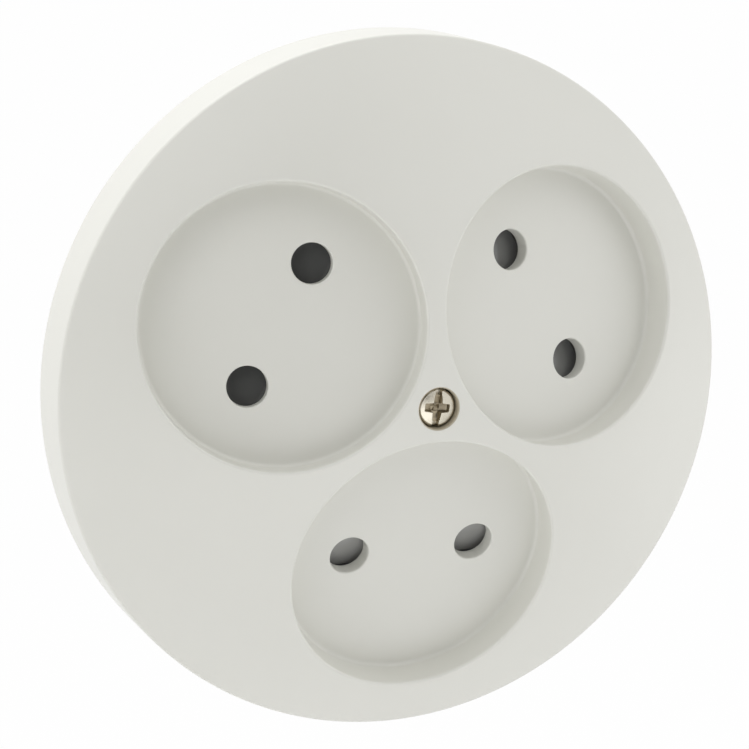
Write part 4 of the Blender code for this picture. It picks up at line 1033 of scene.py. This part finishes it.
def add_pieces(frame, materials):
    """Replaces the nodes that need a finer surface, and gives the others their materials."""
    slots = {row["node"]: row["material_slot"] for row in frame["record"]["subparts"]}
    dress(make_cover(), materials["cover_plastic"], replaced="cover")
    dress(make_cover_screw(), materials["head_nickel"], replaced="cover_screw")
    for name, angle in OUTLETS.items():
        spring = make_spring("spring_" + name, angle)
        dress(spring, materials["spring_steel"], replaced="shutter_spring_" + name)
        matrix = outlet_frame(angle)
        anchor = moved([(SPRING_START, 0, -SPRING_DEPTH)], matrix)[0]
        tuple(anchor)
        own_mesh(spring)
    dress(make_mounting_plate(), materials["plate_steel"], replaced="mounting_plate")
    dress(make_back_plate(), materials["insert_plastic"], replaced="back_plate")
    for name, angle in (("left", pi), ("right", 0.0)):
        rivet = make_rivet("rivet_" + name, angle)
        dress(rivet, materials["plate_steel"], replaced="mounting_rivet_" + name)
    for name, angle in BACK_SCREW_ANGLES.items():
        target = "back_plate_screw_" + name
        screw = make_rear_screw("rear_screw_" + name, target, BACK_SCREW, angle, BACK_SCREW_PLACE)
        dress(screw, materials["screw_nickel"], replaced=target)
    for pole, angle in TERMINAL_ANGLES.items():
        block = make_terminal(pole, angle)
        dress(block, materials["contact_brass"], replaced=pole + "_terminal")
        target = pole + "_terminal_screw"
        screw = make_rear_screw(pole + "_clamp_screw", target, TERMINAL_SCREW, angle, TERMINAL_PLACE)
        dress(screw, materials["screw_nickel"], replaced=target)
    for name, item in frame["nodes"].items():
        item.data.materials.clear()
        item.data.materials.append(materials[slots[name]])


def white_where_seen(tree, shaded, kind, share, shade=None):
    """Mixes a shader with a share of plain white light that only the camera, mirrors and glass see.
    What shade gives dims it for mirrors and glass."""
    path = node(tree, "ShaderNodeLightPath")
    seen = path.outputs["Is Camera Ray"]
    for other in ("Is Glossy Ray", "Is Transmission Ray"):
        either = node(tree, "ShaderNodeMath", operation="MAXIMUM")
        tree.links.new(seen, either.inputs[0])
        tree.links.new(path.outputs[other], either.inputs[1])
        seen = either.outputs[0]
    part = node(tree, "ShaderNodeMath", operation="MULTIPLY")
    tree.links.new(seen, part.inputs[0])
    part.inputs[1].default_value = share
    white = node(tree, kind)
    white.inputs["Color"].default_value = (1, 1, 1, 1)
    white.inputs["Strength"].default_value = 1.0
    if shade is not None:
        level = node(tree, "ShaderNodeMath", operation="MAXIMUM")
        tree.links.new(path.outputs["Is Camera Ray"], level.inputs[0])
        tree.links.new(shade, level.inputs[1])
        tree.links.new(level.outputs[0], white.inputs["Strength"])
    mix = node(tree, "ShaderNodeMixShader")
    tree.links.new(part.outputs[0], mix.inputs["Fac"])
    tree.links.new(shaded, mix.inputs[1])
    tree.links.new(white.outputs[0], mix.inputs[2])
    return mix


def front_shade(tree):
    """1 all round, and less towards the camera's side, where a studio is darker: a smooth step of the cosine
    between a direction and the camera's."""
    cosine = node(tree, "ShaderNodeVectorMath", operation="DOT_PRODUCT")
    tree.links.new(node(tree, "ShaderNodeTexCoord").outputs["Generated"], cosine.inputs[0])
    cosine.inputs[1].default_value = FRONT
    shade = node(tree, "ShaderNodeMapRange", interpolation_type="SMOOTHSTEP")
    shade.inputs["From Min"].default_value = cos(FRONT_OUTER)
    shade.inputs["From Max"].default_value = cos(FRONT_INNER)
    shade.inputs["To Min"].default_value = 1.0
    shade.inputs["To Max"].default_value = FRONT_LEVEL
    tree.links.new(cosine.outputs["Value"], shade.inputs["Value"])
    return shade.outputs["Result"]


def make_world():
    """Soft light from all round but for a dimmer front, with a plain white backdrop."""
    world = bpy.data.worlds.new("studio")
    world.use_nodes = True
    tree = world.node_tree
    back = tree.nodes["Background"]
    back.inputs["Color"].default_value = (1, 1, 1, 1)
    shade = front_shade(tree)
    strength = node(tree, "ShaderNodeMath", operation="MULTIPLY")
    strength.inputs[1].default_value = WORLD_LIGHT
    tree.links.new(shade, strength.inputs[0])
    tree.links.new(strength.outputs[0], back.inputs["Strength"])
    mix = white_where_seen(tree, back.outputs[0], "ShaderNodeBackground", 1.0, shade)
    tree.links.new(mix.outputs[0], tree.nodes["World Output"].inputs["Surface"])
    bpy.context.scene.world = world


def make_lights():
    """Round soft lights that look at the socket from a distance."""
    for name, direction, power in LIGHTS:
        light = bpy.data.lights.new(name, "AREA")
        light.shape = "DISK"
        light.size = LIGHT_SIZE
        light.energy = power
        item = bpy.data.objects.new(name, light)
        back = np.array(direction, float) / np.linalg.norm(direction)
        right = np.cross([0, 0, 1.0], back)
        right /= np.linalg.norm(right)
        matrix = np.eye(4)
        matrix[:3, :3] = np.column_stack([right, np.cross(back, right), back])
        matrix[:3, 3] = LIGHT_DISTANCE * back
        item.matrix_world = Matrix(matrix.tolist())
        bpy.context.collection.objects.link(item)


def make_floor():
    """A large pale floor below the socket: a flat square whose height is constant."""
    half = FLOOR_HALF
    corners = [(-half, -half, FLOOR_LEVEL), (half, -half, FLOOR_LEVEL), (half, half, FLOOR_LEVEL),
               (-half, half, FLOOR_LEVEL)]
    mesh = bpy.data.meshes.new("floor")
    mesh.from_pydata(corners, [], [(0, 1, 2, 3)])
    floor = bpy.data.objects.new("floor", mesh)
    bpy.context.collection.objects.link(floor)
    material = surface("floor_paper", (0.9, 0.9, 0.9), (0.92, 0.92, 0.92), 0.4, 0.8, 0.05, 0.002, 0.00002)
    tree = material.node_tree
    shaded = tree.nodes["Principled BSDF"].outputs[0]
    mix = white_where_seen(tree, shaded, "ShaderNodeEmission", FLOOR_GLOW)
    tree.links.new(mix.outputs[0], tree.nodes["Material Output"].inputs["Surface"])
    floor.data.materials.append(material)


def make_camera():
    """The camera of the photograph: its place and turn were fitted to the outlines."""
    camera = bpy.data.objects.new("camera", bpy.data.cameras.new("camera"))
    camera.data.lens = CAMERA_LENS
    camera.data.sensor_width = 36
    camera.data.clip_start = 0.02
    matrix = np.eye(4)
    matrix[:3, :3] = np.column_stack([CAMERA_RIGHT, CAMERA_UP, np.cross(CAMERA_RIGHT, CAMERA_UP)])
    matrix[:3, 3] = CAMERA_PLACE
    camera.matrix_world = Matrix(matrix.tolist())
    bpy.context.collection.objects.link(camera)
    bpy.context.scene.camera = camera


def main():
    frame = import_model()
    materials = make_materials()
    add_pieces(frame, materials)
    make_world()
    make_floor()
    make_lights()
    make_camera()
    bpy.context.scene.view_settings.view_transform = "Standard"


main()
